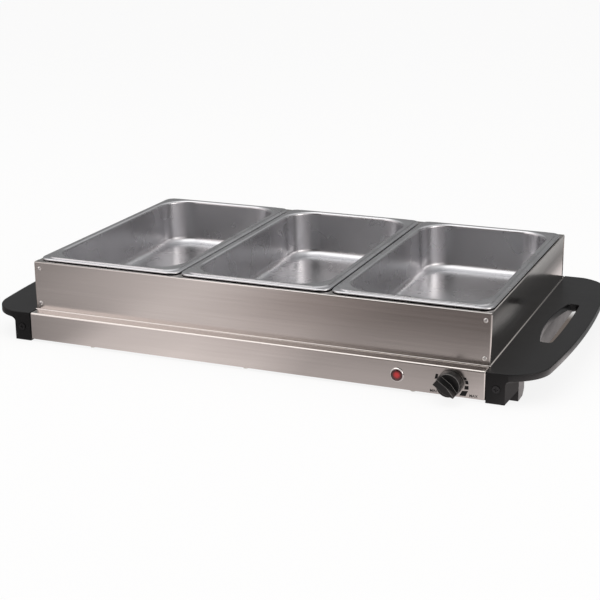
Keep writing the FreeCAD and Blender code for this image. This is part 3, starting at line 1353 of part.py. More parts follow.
def well_block(solid, name, low, high, grow):
    """A solid well that narrows towards its foot; grow is what its wall adds."""
    rounded_plate(solid, name, f"pan_well_length + 2 * ({grow})",
                  f"pan_well_width + 2 * ({grow})", f"pan_well_corner + {grow}",
                  low, f"({high}) - ({low})")
    draft(solid, f"{name}_slope", number(low), number(high),
          neutral_plane(solid, f"{name}_level"))
    soften(solid, f"{name}_foot", f"pan_foot_bend + {grow}", level_at(number(low)))


def pan(label, column):
    across = f"{column} * pan_pitch"
    piece = new_part(label, across)
    rounded_plate(piece, f"{label}_rim", "pan_rim_length", "pan_rim_width", "pan_rim_corner",
                  "rim_top - pan_sheet", "pan_sheet")
    well_block(piece, f"{label}_well", "rim_top - pan_depth", "rim_top - pan_sheet", "pan_sheet")
    half = cell.pan_rim_length / 2 - cell.pan_rim_roll / 2
    long_half = cell.pan_rim_width / 2 - cell.pan_rim_roll / 2

    def mouth_edge(height):
        flat = level_at(height)

        def wanted(edge):
            box = edge.BoundBox
            return flat(edge) and max(abs(box.XMin), abs(box.XMax)) < half \
                and max(abs(box.YMin), abs(box.YMax)) < long_half
        return wanted

    soften(piece, f"{label}_outer_mouth", "pan_mouth_bend - pan_sheet",
           mouth_edge(number("rim_top - pan_sheet")))
    core = doc.addObject("PartDesign::Body", f"{label}_core")
    well_block(core, f"{label}_hollow", "rim_top - pan_depth + pan_sheet", "rim_top", "0")
    doc.recompute()
    cut = piece.newObject("PartDesign::Boolean", f"{label}_inside")
    cut.setObjects([core])
    cut.Type = "Cut"
    soften(piece, f"{label}_inner_mouth", "pan_mouth_bend", mouth_edge(cell.rim_top))
    edge = new_sketch(piece, f"{label}_edge_outline", "XY_Plane", ("0", "0", "frame_top"))
    rounded_rectangle(edge, "pan_rim_length", "pan_rim_width", "pan_rim_corner")
    rounded_rectangle(edge, "pan_rim_length - 2 * pan_sheet", "pan_rim_width - 2 * pan_sheet",
                      "pan_rim_corner - pan_sheet")
    extrude(piece, f"{label}_edge", edge, "pan_rim_drop - pan_sheet")
    outer = level_at(cell.rim_top)
    soften(piece, f"{label}_edge_roll", "pan_rim_roll",
           lambda edge: outer(edge) and not mouth_edge(cell.rim_top)(edge))
    return piece


def check_and_write():
    doc.recompute()
    failed = [thing.Name for thing in doc.Objects
              if "Invalid" in thing.State or "Error" in thing.State]
    if failed:
        raise ValueError(f"these did not build: {failed}")
    os.makedirs("parts", exist_ok=True)
    for piece in parts:
        shape = piece.Shape
        if shape.isNull() or not shape.isValid() or not shape.Solids:
            raise ValueError(f"{piece.Label} is not a valid solid")
        shape.exportStep(f"parts/{piece.Label}.step")
        print(f"{piece.Label}: {len(shape.Solids)} solids, {shape.Volume:.0f} mm3")


fill_sheet("Sizes", SIZES)
fill_sheet("Worked", WORKED)
doc.addObject("Spreadsheet::Sheet", "Spare")
cell = Cells()

base_shell()
bottom_cover()
cover_screws()
handle()
handle_brackets()
bracket_rivets()
handle_screws()
foot_pads()
heat_spreader()
heating_element()
element_pins()
clamp_bars()
clamp_studs()
stud_nuts()
reflector_tray()
thermostat()
spindle()
control_knob()
lamp()
terminal_block()
cord_gland()
thermal_fuse()
earth_and_clip_studs()
leads()
front_panel("frame_front_panel", "-1")
front_panel("frame_rear_panel", "1")
side_panel()
frame_rivets()
divider_bars()
for pan_label, pan_column in (("pan_left", -1), ("pan_middle", 0), ("pan_right", 1)):
    pan(pan_label, pan_column)
check_and_write()
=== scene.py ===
import json
import math

import bpy
from mathutils import Matrix, Vector


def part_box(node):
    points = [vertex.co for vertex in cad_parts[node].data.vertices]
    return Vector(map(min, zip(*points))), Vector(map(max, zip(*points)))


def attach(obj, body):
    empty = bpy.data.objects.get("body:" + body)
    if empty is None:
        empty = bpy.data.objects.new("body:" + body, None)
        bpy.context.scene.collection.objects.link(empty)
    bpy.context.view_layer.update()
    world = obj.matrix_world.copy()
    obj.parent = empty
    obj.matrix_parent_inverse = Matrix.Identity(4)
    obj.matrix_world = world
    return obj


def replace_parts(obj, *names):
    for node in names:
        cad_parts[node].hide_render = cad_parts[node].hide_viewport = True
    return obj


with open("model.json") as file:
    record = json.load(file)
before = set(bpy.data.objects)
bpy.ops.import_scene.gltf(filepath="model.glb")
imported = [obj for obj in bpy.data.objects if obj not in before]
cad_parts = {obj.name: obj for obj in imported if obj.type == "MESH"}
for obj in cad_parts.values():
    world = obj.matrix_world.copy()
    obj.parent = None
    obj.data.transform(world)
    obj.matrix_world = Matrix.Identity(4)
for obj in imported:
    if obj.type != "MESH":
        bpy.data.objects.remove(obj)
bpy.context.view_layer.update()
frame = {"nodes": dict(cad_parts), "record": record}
nodes = frame["nodes"]
scene = bpy.context.scene
MM = 0.001

# Camera

CAMERA_PLACE = (0.6063, -1.4902, 0.5262)
CAMERA_YAW = 22.40
CAMERA_PITCH = 17.22
CAMERA_ROLL = -0.33
LENS = 85.12
SENSOR = 36.0


def make_camera():
    yaw = math.radians(CAMERA_YAW)
    pitch = math.radians(CAMERA_PITCH)
    roll = math.radians(CAMERA_ROLL)
    forward = Vector((
        -math.sin(yaw) * math.cos(pitch),
        math.cos(yaw) * math.cos(pitch),
        -math.sin(pitch),
    ))
    level = Vector((math.cos(yaw), math.sin(yaw), 0.0))
    upward = level.cross(forward)
    right = level * math.cos(roll) + upward * math.sin(roll)
    top = upward * math.cos(roll) - level * math.sin(roll)
    data = bpy.data.cameras.new("camera")
    data.lens = LENS
    data.sensor_width = SENSOR
    data.clip_start = 0.05
    data.clip_end = 30.0
    camera = bpy.data.objects.new("camera", data)
    turn = Matrix((right, top, -forward)).transposed().to_4x4()
    camera.matrix_world = Matrix.Translation(CAMERA_PLACE) @ turn
    scene.collection.objects.link(camera)
    scene.camera = camera


make_camera()

# Materials


class Finish:
    """One material: a shader and the patterns that vary its colour, roughness and relief."""

    def __init__(self, name, metallic, roughness):
        self.material = bpy.data.materials.new(name)
        self.material.use_nodes = True
        self.tree = self.material.node_tree
        self.shader = self.tree.nodes["Principled BSDF"]
        self.shader.inputs["Metallic"].default_value = metallic
        self.shader.inputs["Roughness"].default_value = roughness
        self.place = self.tree.nodes.new("ShaderNodeTexCoord")

    def join(self, start, end):
        self.tree.links.new(start, end)

    def set(self, socket, value):
        self.shader.inputs[socket].default_value = value

    def noise(self, scale, detail=3.0):
        """A noise pattern, stretched along the axes in repeats per metre."""
        stretch = self.tree.nodes.new("ShaderNodeMapping")
        stretch.inputs["Scale"].default_value = scale
        texture = self.tree.nodes.new("ShaderNodeTexNoise")
        texture.inputs["Scale"].default_value = 1.0
        texture.inputs["Detail"].default_value = detail
        self.join(self.place.outputs["Object"], stretch.inputs["Vector"])
        self.join(stretch.outputs["Vector"], texture.inputs["Vector"])
        return texture.outputs["Fac"]

    def math(self, operation, first, second=0.5):
        step = self.tree.nodes.new("ShaderNodeMath")
        step.operation = operation
        for socket, value in zip(step.inputs, (first, second)):
            if isinstance(value, (int, float)):
                socket.default_value = value
            else:
                self.join(value, socket)
        return step.outputs["Value"]

    def choose(self, factor, first, second):
        """The first pattern where the factor is 0, and the second where it is 1."""
        mix = self.tree.nodes.new("ShaderNodeMix")
        mix.data_type = "FLOAT"
        self.join(factor, mix.inputs[0])
        self.join(first, mix.inputs[2])
        self.join(second, mix.inputs[3])
        return mix.outputs[0]

    def spread(self, pattern, low, high, start=0.3, end=0.7):
        ranged = self.tree.nodes.new("ShaderNodeMapRange")
        ranged.inputs["From Min"].default_value = start
        ranged.inputs["From Max"].default_value = end
        ranged.inputs["To Min"].default_value = low
        ranged.inputs["To Max"].default_value = high
        self.join(pattern, ranged.inputs["Value"])
        return ranged.outputs["Result"]

    def colours(self, pattern, dark, light):
        ramp = self.tree.nodes.new("ShaderNodeValToRGB")
        ramp.color_ramp.elements[0].position = 0.3
        ramp.color_ramp.elements[0].color = (*dark, 1.0)
        ramp.color_ramp.elements[1].position = 0.7
        ramp.color_ramp.elements[1].color = (*light, 1.0)
        self.join(pattern, ramp.inputs["Fac"])
        self.join(ramp.outputs["Color"], self.shader.inputs["Base Color"])

    def roughen(self, pattern, low, high):
        self.join(self.spread(pattern, low, high), self.shader.inputs["Roughness"])

    def relief(self, pattern, strength, depth):
        bump = self.tree.nodes.new("ShaderNodeBump")
        bump.inputs["Strength"].default_value = strength
        bump.inputs["Distance"].default_value = depth
        self.join(pattern, bump.inputs["Height"])
        self.join(bump.outputs["Normal"], self.shader.inputs["Normal"])


def shade(colour, amount):
    return tuple(channel * amount for channel in colour)


LINE_SCALE = (14.0, 1500.0)
BAND_SCALE = (5.0, 320.0)
LINE_CONTRAST = 0.05
LINE_RELIEF = (0.05, 0.00003)
SIDEWAYS_FROM = 0.7
SIDE_ROUGHNESS = (0.12, 0.16)


def lines(finish, sideways, scale, detail):
    """Lines along a face: from left to right, and from front to rear on a face that looks sideways."""
    along, across = scale
    return finish.choose(
        sideways,
        finish.noise((along, across, across), detail),
        finish.noise((across, along, across), detail),
    )


def brushed(name, colour, roughness):
    """Sheet metal with fine lines along its length, sharper in the reflection on its narrow sides."""
    finish = Finish(name, 1.0, roughness)
    shape = finish.tree.nodes.new("ShaderNodeNewGeometry")
    split = finish.tree.nodes.new("ShaderNodeSeparateXYZ")
    finish.join(shape.outputs["Normal"], split.inputs["Vector"])
    sideways = finish.math("GREATER_THAN", finish.math("ABSOLUTE", split.outputs["X"]), SIDEWAYS_FROM)
    fine = lines(finish, sideways, LINE_SCALE, 4.0)
    broad = lines(finish, sideways, BAND_SCALE, 2.0)
    both = finish.math("MULTIPLY", finish.math("ADD", fine, broad), 0.5)
    finish.colours(both, shade(colour, 1.0 - LINE_CONTRAST), shade(colour, 1.0 + LINE_CONTRAST))
    front = finish.spread(both, roughness - 0.03, roughness + 0.04)
    side = finish.spread(both, *SIDE_ROUGHNESS)
    finish.join(finish.choose(sideways, front, side), finish.shader.inputs["Roughness"])
    finish.relief(fine, *LINE_RELIEF)
    return finish.material


def satin(name, colour, roughness):
    """Drawn sheet metal, slightly cloudy."""
    finish = Finish(name, 1.0, roughness)
    clouds = finish.noise((22.0, 22.0, 22.0), 2.0)
    finish.colours(clouds, shade(colour, 0.97), shade(colour, 1.03))
    finish.roughen(clouds, roughness - 0.02, roughness + 0.03)
    return finish.material


def plated(name, colour, roughness):
    """Turned or pressed hardware with a thin coat."""
    finish = Finish(name, 1.0, roughness)
    patches = finish.noise((220.0, 220.0, 220.0), 4.0)
    finish.colours(patches, shade(colour, 0.85), shade(colour, 1.08))
    finish.roughen(patches, roughness - 0.06, roughness + 0.1)
    finish.relief(patches, 0.08, 0.00004)
    return finish.material


SKIN_RELIEF = (0.15, 0.00004)


def moulded(name, colour, roughness, grain=2600.0, shine=0.5):
    """Moulded plastic or rubber with its fine spark-eroded skin."""
    finish = Finish(name, 0.0, roughness)
    finish.set("Specular IOR Level", shine)
    skin = finish.noise((grain, grain, grain), 2.0)
    flow = finish.noise((18.0, 18.0, 30.0), 3.0)
    finish.colours(flow, shade(colour, 0.86), shade(colour, 1.16))
    finish.roughen(flow, roughness - 0.05, roughness + 0.06)
    finish.relief(skin, *SKIN_RELIEF)
    return finish.material


def lens(name, colour, node):
    """Clear coloured plastic with painted shade: bright in the middle and darker towards its edge."""
    finish = Finish(name, 0.0, 0.1)
    low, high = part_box(node)
    reach = finish.tree.nodes.new("ShaderNodeVectorMath")
    reach.operation = "DISTANCE"
    reach.inputs[1].default_value = (low + high) / 2
    finish.join(finish.place.outputs["Object"], reach.inputs[0])
    # Painted shade: the colour darkens from the lens's middle out to its edge
    outward = finish.spread(reach.outputs["Value"], 0.0, 1.0, 0.0, (high.x - low.x) / 2)
    finish.colours(outward, colour, shade(colour, 0.12))
    finish.set("Coat Weight", 1.0)
    finish.set("Coat Roughness", 0.04)
    return finish.material


finishes = {
    "stainless": brushed("stainless", (0.62, 0.585, 0.56), 0.2),
    "pan_steel": satin("pan_steel", (0.6, 0.6, 0.615), 0.27),
    "rivet_steel": plated("rivet_steel", (0.8, 0.79, 0.78), 0.3),
    "zinc_sheet": satin("zinc_sheet", (0.6, 0.61, 0.62), 0.42),
    "zinc_hardware": plated("zinc_hardware", (0.66, 0.65, 0.6), 0.32),
    "black_hardware": plated("black_hardware", (0.05, 0.05, 0.052), 0.38),
    "aluminium_sheet": satin("aluminium_sheet", (0.8, 0.8, 0.81), 0.33),
    "element_tube": plated("element_tube", (0.34, 0.32, 0.3), 0.5),
    "black_plastic": moulded("black_plastic", (0.007, 0.007, 0.0075), 0.36, shine=0.25),
    "knob_plastic": moulded("knob_plastic", (0.008, 0.008, 0.008), 0.28, 3200.0),
    "thermostat_case": moulded("thermostat_case", (0.62, 0.58, 0.5), 0.55, 700.0),
    "white_plastic": moulded("white_plastic", (0.75, 0.74, 0.7), 0.45),
    "red_lens": lens("red_lens", (0.55, 0.012, 0.014), "lamp_lens"),
    "bezel_chrome": plated("bezel_chrome", (0.82, 0.8, 0.78), 0.14),
    "brass": plated("brass", (0.78, 0.6, 0.27), 0.28),
    # Lighter grey for the knob's rounded edges: a painted highlight
    "knob_painted_highlight": moulded("knob_painted_highlight", (0.16, 0.155, 0.15), 0.35, 3200.0),
    "rubber": moulded("rubber", (0.03, 0.03, 0.03), 0.7, 1400.0),
    "lead_brown": moulded("lead_brown", (0.16, 0.07, 0.03), 0.42),
    "lead_blue": moulded("lead_blue", (0.03, 0.12, 0.42), 0.42),
    "lead_green": moulded("lead_green", (0.1, 0.4, 0.06), 0.42),
}


def dress(piece, slot):
    """The piece gets one finish all over."""
    piece.data.materials.clear()
    piece.data.materials.append(finishes[slot])


for part in frame["record"]["subparts"]:
    dress(nodes[part["node"]], part["material_slot"])


WELD_DISTANCE = 0.000002
SHARP_ANGLE = 30.0
ROUND_SEGMENTS = 2


def soften_edges(name, width, edge_highlight=None):
    """A node's sharp edges get a small round; where an edge highlight is asked, in full width and in a
    lighter finish of its own, a painted highlight.
    """
    piece = nodes[name]
    weld = piece.modifiers.new("weld", "WELD")
    weld.merge_threshold = WELD_DISTANCE
    round_off = piece.modifiers.new("round", "BEVEL")
    round_off.width = width
    round_off.segments = ROUND_SEGMENTS
    round_off.limit_method = "ANGLE"
    round_off.angle_limit = math.radians(SHARP_ANGLE)
    round_off.harden_normals = True
    # Where asked, the round gets a lighter finish: a painted highlight
    if edge_highlight:
        piece.data.materials.append(finishes[edge_highlight])
        round_off.material = 1
        round_off.use_clamp_overlap = False


# Shapes


def rounded_ring(half_x, half_y, radius, z, centre, steps):
    """Points round a rectangle with rounded corners."""
    points = []
    signs = ((1, 1), (-1, 1), (-1, -1), (1, -1))
    for corner, (side_x, side_y) in enumerate(signs):
        for step in range(steps + 1):
            angle = math.radians(90.0 * (corner + step / steps))
            points.append((
                centre[0] + side_x * (half_x - radius) + radius * math.cos(angle),
                centre[1] + side_y * (half_y - radius) + radius * math.sin(angle),
                z,
            ))
    return points


def skin_faces(first, count, rings, capped=True):
    """Quads between one ring and the next, and where asked a cap on the last ring."""
    faces = []
    for ring in range(rings - 1):
        low = first + ring * count
        high = low + count
        for place in range(count):
            after = (place + 1) % count
            faces.append((low + place, low + after, high + after, high + place))
    if capped:
        last = first + (rings - 1) * count
        faces.append(tuple(last + place for place in range(count)))
    return faces


def new_piece(name, points, faces, slot, body, sharp=35.0):
    mesh = bpy.data.meshes.new(name)
    mesh.from_pydata(points, [], faces)
    mesh.update()
    mesh.polygons.foreach_set("use_smooth", [True] * len(mesh.polygons))
    mesh.set_sharp_from_angle(angle=math.radians(sharp))
    piece = bpy.data.objects.new(name, mesh)
    scene.collection.objects.link(piece)
    dress(piece, slot)
    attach(piece, body)
    return piece


# Pans

RIM_RADIUS = 12.0 * MM
RIM_STEP = 1.1 * MM
RIM_BAND = 4.3 * MM
RIM_ROLL = 1.6 * MM
RIM_DROP = 2.7 * MM
STEP_RUN = 0.7 * MM
STEP_RADIUS = 15.0 * MM
RIM_LAND = 11.0 * MM
MOUTH_BEND = 3.0 * MM
WELL_RADIUS = 35.0 * MM
WELL_DEPTH = 56.0 * MM
WELL_SLOPE = math.tan(math.radians(3.0))
FOOT_BEND = 9.0 * MM
FOOT_LAND = 1.5 * MM
FOOT_CORNER_SHARE = 0.9
STEP_EASE_RUN = 0.25
STEP_EASE_RISE = 0.12
SHEET = 0.7 * MM
CORNER_STEPS = 12
BEND_STEPS = 6


def arc(centre_in, centre_z, radius, start, end, steps):
    """Inset and height of points along an arc."""
    points = []
    for step in range(steps + 1):
        angle = math.radians(start + (end - start) * step / steps)
        points.append((centre_in + radius * math.cos(angle), centre_z + radius * math.sin(angle)))
    return points


def rim_profile(top, thick):
    """Inset, height and corner radius along one face of the rim, from its lip to the mouth."""
    band = top - RIM_STEP
    profile = []
    lip_radius = RIM_RADIUS - thick
    profile.append((thick, top - RIM_DROP, lip_radius))
    roll = RIM_ROLL - thick
    for inset, height in arc(RIM_ROLL, band - RIM_ROLL, roll, 180.0, 90.0, BEND_STEPS):
        profile.append((inset, height, RIM_RADIUS - inset))
    profile.append((RIM_BAND, band - thick, STEP_RADIUS))
    for run, rise in ((STEP_EASE_RUN, STEP_EASE_RISE), (1.0 - STEP_EASE_RUN, 1.0 - STEP_EASE_RISE)):
        profile.append((RIM_BAND + run * STEP_RUN, band - thick + rise * RIM_STEP, STEP_RADIUS))
    profile.append((RIM_BAND + STEP_RUN, top - thick, STEP_RADIUS))
    return profile


def well_profile(top, thick):
    """Inset, height and corner radius from the mouth to the floor of the well."""
    profile = []
    start = RIM_LAND - MOUTH_BEND
    bend = MOUTH_BEND - thick
    for inset, height in arc(start, top - MOUTH_BEND, bend, 90.0, 0.0, BEND_STEPS):
        profile.append((inset, height, WELL_RADIUS + RIM_LAND - inset))
    floor = top - WELL_DEPTH + SHEET - thick
    low = floor + FOOT_BEND
    wall_low = RIM_LAND - thick + (top - MOUTH_BEND - low) * WELL_SLOPE
    low_radius = WELL_RADIUS - (wall_low - RIM_LAND)
    for inset, height in arc(wall_low + FOOT_BEND, low, -FOOT_BEND, 0.0, 90.0, BEND_STEPS + 2):
        profile.append((inset, height, low_radius - (inset - wall_low) * FOOT_CORNER_SHARE))
    inner = wall_low + FOOT_BEND + FOOT_LAND
    profile.append((inner, floor, low_radius - (inner - wall_low) * FOOT_CORNER_SHARE))
    return profile


def make_pan(name):
    low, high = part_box(name)
    centre = ((low.x + high.x) / 2, (low.y + high.y) / 2)
    half_x = (high.x - low.x) / 2
    half_y = (high.y - low.y) / 2
    points = []
    faces = []
    count = 4 * (CORNER_STEPS + 1)
    for thick in (0.0, SHEET):
        profile = rim_profile(high.z, thick) + well_profile(high.z, thick)
        first = len(points)
        for inset, height, radius in profile:
            points += rounded_ring(half_x - inset, half_y - inset, radius, height, centre, CORNER_STEPS)
        side = skin_faces(first, count, len(profile))
        faces += side if thick == 0.0 else [tuple(reversed(face)) for face in side]
    under = len(points) // 2
    for place in range(count):
        after = (place + 1) % count
        faces.append((place, under + place, under + after, after))
    piece = new_piece(name + "_sheet", points, faces, "pan_steel", name)
    even = piece.modifiers.new("even", "WEIGHTED_NORMAL")
    even.keep_sharp = True
    even.weight = 70
    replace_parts(piece, name)


for pan in ("pan_left", "pan_middle", "pan_right"):
    make_pan(pan)

# Small rounds on moulded and folded edges

HANDLE_ROUND = 0.45 * MM
KNOB_ROUND = 0.3 * MM
PANEL_ROUND = 0.3 * MM

for handle in ("left_handle", "right_handle"):
    soften_edges(handle, HANDLE_ROUND)
# The knob's rounded edges take the lighter finish: a painted highlight
soften_edges("control_knob", KNOB_ROUND, edge_highlight="knob_painted_highlight")
for panel in ("frame_front_panel", "frame_rear_panel", "frame_left_panel", "frame_right_panel"):
    soften_edges(panel, PANEL_ROUND)

# Folded foot and corners of the pan frame

FOOT_BEAD = 1.1 * MM
CORNER_BEND = 1.6 * MM
CORNER_STAND = 0.48 * MM
FOLD_STEPS = 6


def frame_outline():
    """The frame's four sides, its foot and its top."""
    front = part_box("frame_front_panel")
    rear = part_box("frame_rear_panel")
    return front[0].x, front[1].x, front[0].y, rear[1].y, front[0].z, front[1].z


def make_foot_bead():
    left, right, front, rear, foot, _ = frame_outline()
    points = []
    for step in range(FOLD_STEPS + 1):
        angle = math.radians(90.0 * step / FOLD_STEPS)
        out = FOOT_BEAD * math.cos(angle)
        height = foot + FOOT_BEAD * math.sin(angle)
        points += [
            (left - out, front - out, height),
            (right + out, front - out, height),
            (right + out, rear + out, height),
            (left - out, rear + out, height),
        ]
    faces = skin_faces(0, 4, FOLD_STEPS + 1, capped=False)
    new_piece("frame_foot_bead", points, faces, "stainless", "pan_frame")


def make_corner_folds():
    left, right, front, rear, foot, top = frame_outline()
    points = []
    faces = []
    inset = CORNER_BEND - CORNER_STAND
    for face_x, side_x in ((left, -1), (right, 1)):
        for face_y, side_y in ((front, -1), (rear, 1)):
            centre_x = face_x - side_x * inset
            centre_y = face_y - side_y * inset
            outline = [(face_x, centre_y)]
            for step in range(FOLD_STEPS + 1):
                angle = math.radians(90.0 * step / FOLD_STEPS)
                outline.append((
                    centre_x + side_x * CORNER_BEND * math.cos(angle),
                    centre_y + side_y * CORNER_BEND * math.sin(angle),
                ))
            outline.append((centre_x, face_y))
            first = len(points)
            for height in (foot, top - CORNER_BEND):
                points += [(x, y, height) for x, y in outline]
            count = len(outline)
            for place in range(count - 1):
                low = first + place
                face = (low, low + 1, low + count + 1, low + count)
                faces.append(face if side_x * side_y > 0 else tuple(reversed(face)))
            cap = tuple(range(first + count, first + 2 * count))
            faces.append(cap if side_x * side_y > 0 else tuple(reversed(cap)))
    new_piece("frame_corner_folds", points, faces, "stainless", "pan_frame")


make_foot_bead()
make_corner_folds()

# Rivets and lamp lens

ROUND_STEPS = 32
RIVET_HEAD = 2.4 * MM
RIVET_RISE = 1.0 * MM
RIVET_EDGE = 0.2 * MM
RIVET_SHANK = 1.5 * MM
RIVET_UPSET = (1.6 * MM, 2.2 * MM, 2.6 * MM)
UPSET_SHARE = 0.8
LENS_EDGE = 0.3 * MM
LENS_STEPS = 12


def turned(name, profile, places, slot, body, node):
    """Pieces turned about axes that run from front to rear: radius and depth along the profile."""
    points = []
    faces = []
    for centre_x, centre_z, start, way in places:
        first = len(points)
        for radius, depth in profile:
            for step in range(ROUND_STEPS):
                angle = way * math.tau * step / ROUND_STEPS
                points.append((
                    centre_x + radius * math.cos(angle),
                    start + way * depth,
                    centre_z + radius * math.sin(angle),
                ))
        faces += skin_faces(first, ROUND_STEPS, len(profile))
        faces.append(tuple(reversed(range(first, first + ROUND_STEPS))))
    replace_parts(new_piece(name, points, faces, slot, body), node)


def dome(radius, rise, edge, steps=8):
    """A shallow cap: its edge wall and the curve up to its crown."""
    profile = [(radius, 0.0), (radius, -edge)]
    for step in range(1, steps):
        angle = math.radians(90.0 * step / steps)
        profile.append((radius * math.cos(angle), -edge - (rise - edge) * math.sin(angle)))
    return profile


def make_rivets():
    low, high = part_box("frame_rivets")
    seat, shoulder, end = RIVET_UPSET
    tail = [
        (UPSET_SHARE * RIVET_HEAD, end),
        (RIVET_HEAD, shoulder),
        (RIVET_HEAD, seat),
        (RIVET_SHANK, seat),
        (RIVET_SHANK, 0.0),
    ]
    places = []
    for centre_x in (low.x + RIVET_HEAD, high.x - RIVET_HEAD):
        for centre_z in (low.z + RIVET_HEAD, high.z - RIVET_HEAD):
            places.append((centre_x, centre_z, low.y + RIVET_RISE, 1.0))
            places.append((centre_x, centre_z, high.y - RIVET_RISE, -1.0))
    profile = tail + dome(RIVET_HEAD, RIVET_RISE, RIVET_EDGE)
    turned("rivet_domes", profile, places, "rivet_steel", "pan_frame", "frame_rivets")


def make_lens():
    low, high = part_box("lamp_lens")
    centre = ((low.x + high.x) / 2, (low.z + high.z) / 2)
    radius = (high.x - low.x) / 2
    rise = high.y - low.y
    places = [(centre[0], centre[1], high.y, 1.0)]
    profile = dome(radius, rise, LENS_EDGE, LENS_STEPS)
    turned("lens_dome", profile, places, "red_lens", "warming_base", "lamp_lens")


make_rivets()
make_lens()

# Dial marks and lettering

DIAL_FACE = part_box("base_shell")[0].y
DIAL_PLACE = (232.0 * MM, 16.9 * MM)
INK = 0.05 * MM


def dial_mark(name, corners):
    """A printed mark on the apron, from its corners left to right from the dial's axis and up from it."""
    points = []
    for depth in (0.0, -INK):
        for across, above in corners:
            points.append((DIAL_PLACE[0] + across * MM, DIAL_FACE + depth, DIAL_PLACE[1] + above * MM))
    faces = [(7, 6, 5, 4)]
    faces += [(side, (side + 1) % 4, 4 + (side + 1) % 4, 4 + side) for side in range(4)]
    new_piece(name, points, faces, "black_plastic", "warming_base")


# Each mark's corners, in millimetres from the dial's axis: the marks grow towards the high end
DIAL_MARKS = (
    ((-16.3, 8.3), (-13.6, 8.1), (-14.5, 3.3), (-17.5, 2.5)),
    ((12.8, 8.1), (15.7, 8.1), (16.5, 5.7), (13.8, 5.4)),
    ((14.6, 5.0), (17.7, 5.1), (18.5, 1.2), (15.4, 1.3)),
    ((14.5, -0.9), (18.5, -0.5), (18.6, -4.5), (14.1, -4.8)),
    ((11.8, -6.6), (18.1, -6.0), (15.6, -11.9), (9.0, -12.0)),
)

for number, corners in enumerate(DIAL_MARKS, start=1):
    dial_mark(f"dial_mark_{number}", corners)

WORD_HEIGHT = 4.1 * MM
WORD_WEIGHT = 0.07 * MM
LOW_WORD_PLACE = (213.4 * MM, 6.1 * MM)
HIGH_WORD_PLACE = (255.8 * MM, 6.0 * MM)


def dial_word(name, text, place):
    data = bpy.data.curves.new(name, "FONT")
    data.body = text
    data.size = WORD_HEIGHT
    data.align_x = "CENTER"
    data.align_y = "CENTER"
    data.extrude = INK
    data.offset = WORD_WEIGHT
    word = bpy.data.objects.new(name, data)
    upright = Matrix.Rotation(math.pi / 2, 4, "X")
    word.matrix_world = Matrix.Translation((place[0], DIAL_FACE, place[1])) @ upright
    scene.collection.objects.link(word)
    word.data.materials.append(finishes["black_plastic"])
    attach(word, "warming_base")


dial_word("dial_word_low", "MIN", LOW_WORD_PLACE)
dial_word("dial_word_high", "MAX", HIGH_WORD_PLACE)

# Studio

WARM = (1.0, 0.93, 0.92)
DUSK = (1.0, 0.87, 0.84)
PLAIN = (1.0, 1.0, 1.0)

# Light by direction: upwards behind the tray, and from left to right ahead of it
REAR_LIGHT = (
    (0.1, 0.2, PLAIN),
    (0.34, 0.22, PLAIN),
    (0.5, 0.62, PLAIN),
    (0.7, 0.75, PLAIN),
    (0.86, 0.95, PLAIN),
    (1.0, 0.95, PLAIN),
)
FRONT_LIGHT = (
    (-0.7, 1.0, WARM),
    (-0.46, 1.6, WARM),
    (-0.4, 1.4, WARM),
    (-0.35, 0.2, DUSK),
    (-0.28, 0.05, DUSK),
    (0.3, 0.05, DUSK),
    (0.6, 0.9, WARM),
    (1.0, 1.0, WARM),
)
CEILING_EDGE = (0.86, 0.6)
AHEAD_EDGE = (0.1, -0.2)

# Floor in the metal's reflections, from left to right: near, far ahead and behind the front
NEAR_FLOOR = (
    (-0.3, 0.3, WARM),
    (-0.245, 0.45, WARM),
    (-0.2, 0.82, WARM),
    (-0.09, 1.06, WARM),
    (0.0, 0.92, WARM),
    (0.06, 0.62, WARM),
    (0.22, 0.6, WARM),
    (0.27, 0.8, WARM),
    (0.29, 1.4, WARM),
    (0.306, 1.4, WARM),
    (0.33, 1.7, WARM),
    (0.42, 1.3, WARM),
    (0.5, 0.8, WARM),
)
FAR_FLOOR = (
    (-0.42, 0.36, WARM),
    (-0.33, 0.62, WARM),
    (-0.18, 0.88, WARM),
    (-0.045, 0.37, DUSK),
    (0.09, 0.19, DUSK),
    (0.25, 0.15, DUSK),
    (0.45, 0.4, WARM),
)
BEHIND_FLOOR = (
    (0.28, 0.5, PLAIN),
    (0.288, 1.0, WARM),
    (0.305, 1.0, WARM),
    (0.312, 0.1, PLAIN),
    (0.324, 0.12, PLAIN),
    (0.334, 0.5, PLAIN),
)
FLOOR_HALF = 6.0
FLOOR_SPAN = (-0.6, 0.6)
NEAR_TO_FAR = (-0.16, -0.43)
FRONT_TO_BEHIND = (-0.06, 0.05)
PAPER_COLOUR = (0.9, 0.9, 0.9, 1.0)
PAPER_GLOW = 0.86

# Painted shadow on the floor under the right handle's grip, seen by the camera only
GRIP_PAINTED_SHADOW = (0.15, 0.128, 0.115)
GRIP_INNER = (0.262, 0.28)
GRIP_OUTER = (0.304, 0.296)
GRIP_FRONT = (-0.06, -0.02)
GRIP_REAR = (0.17, 0.12)


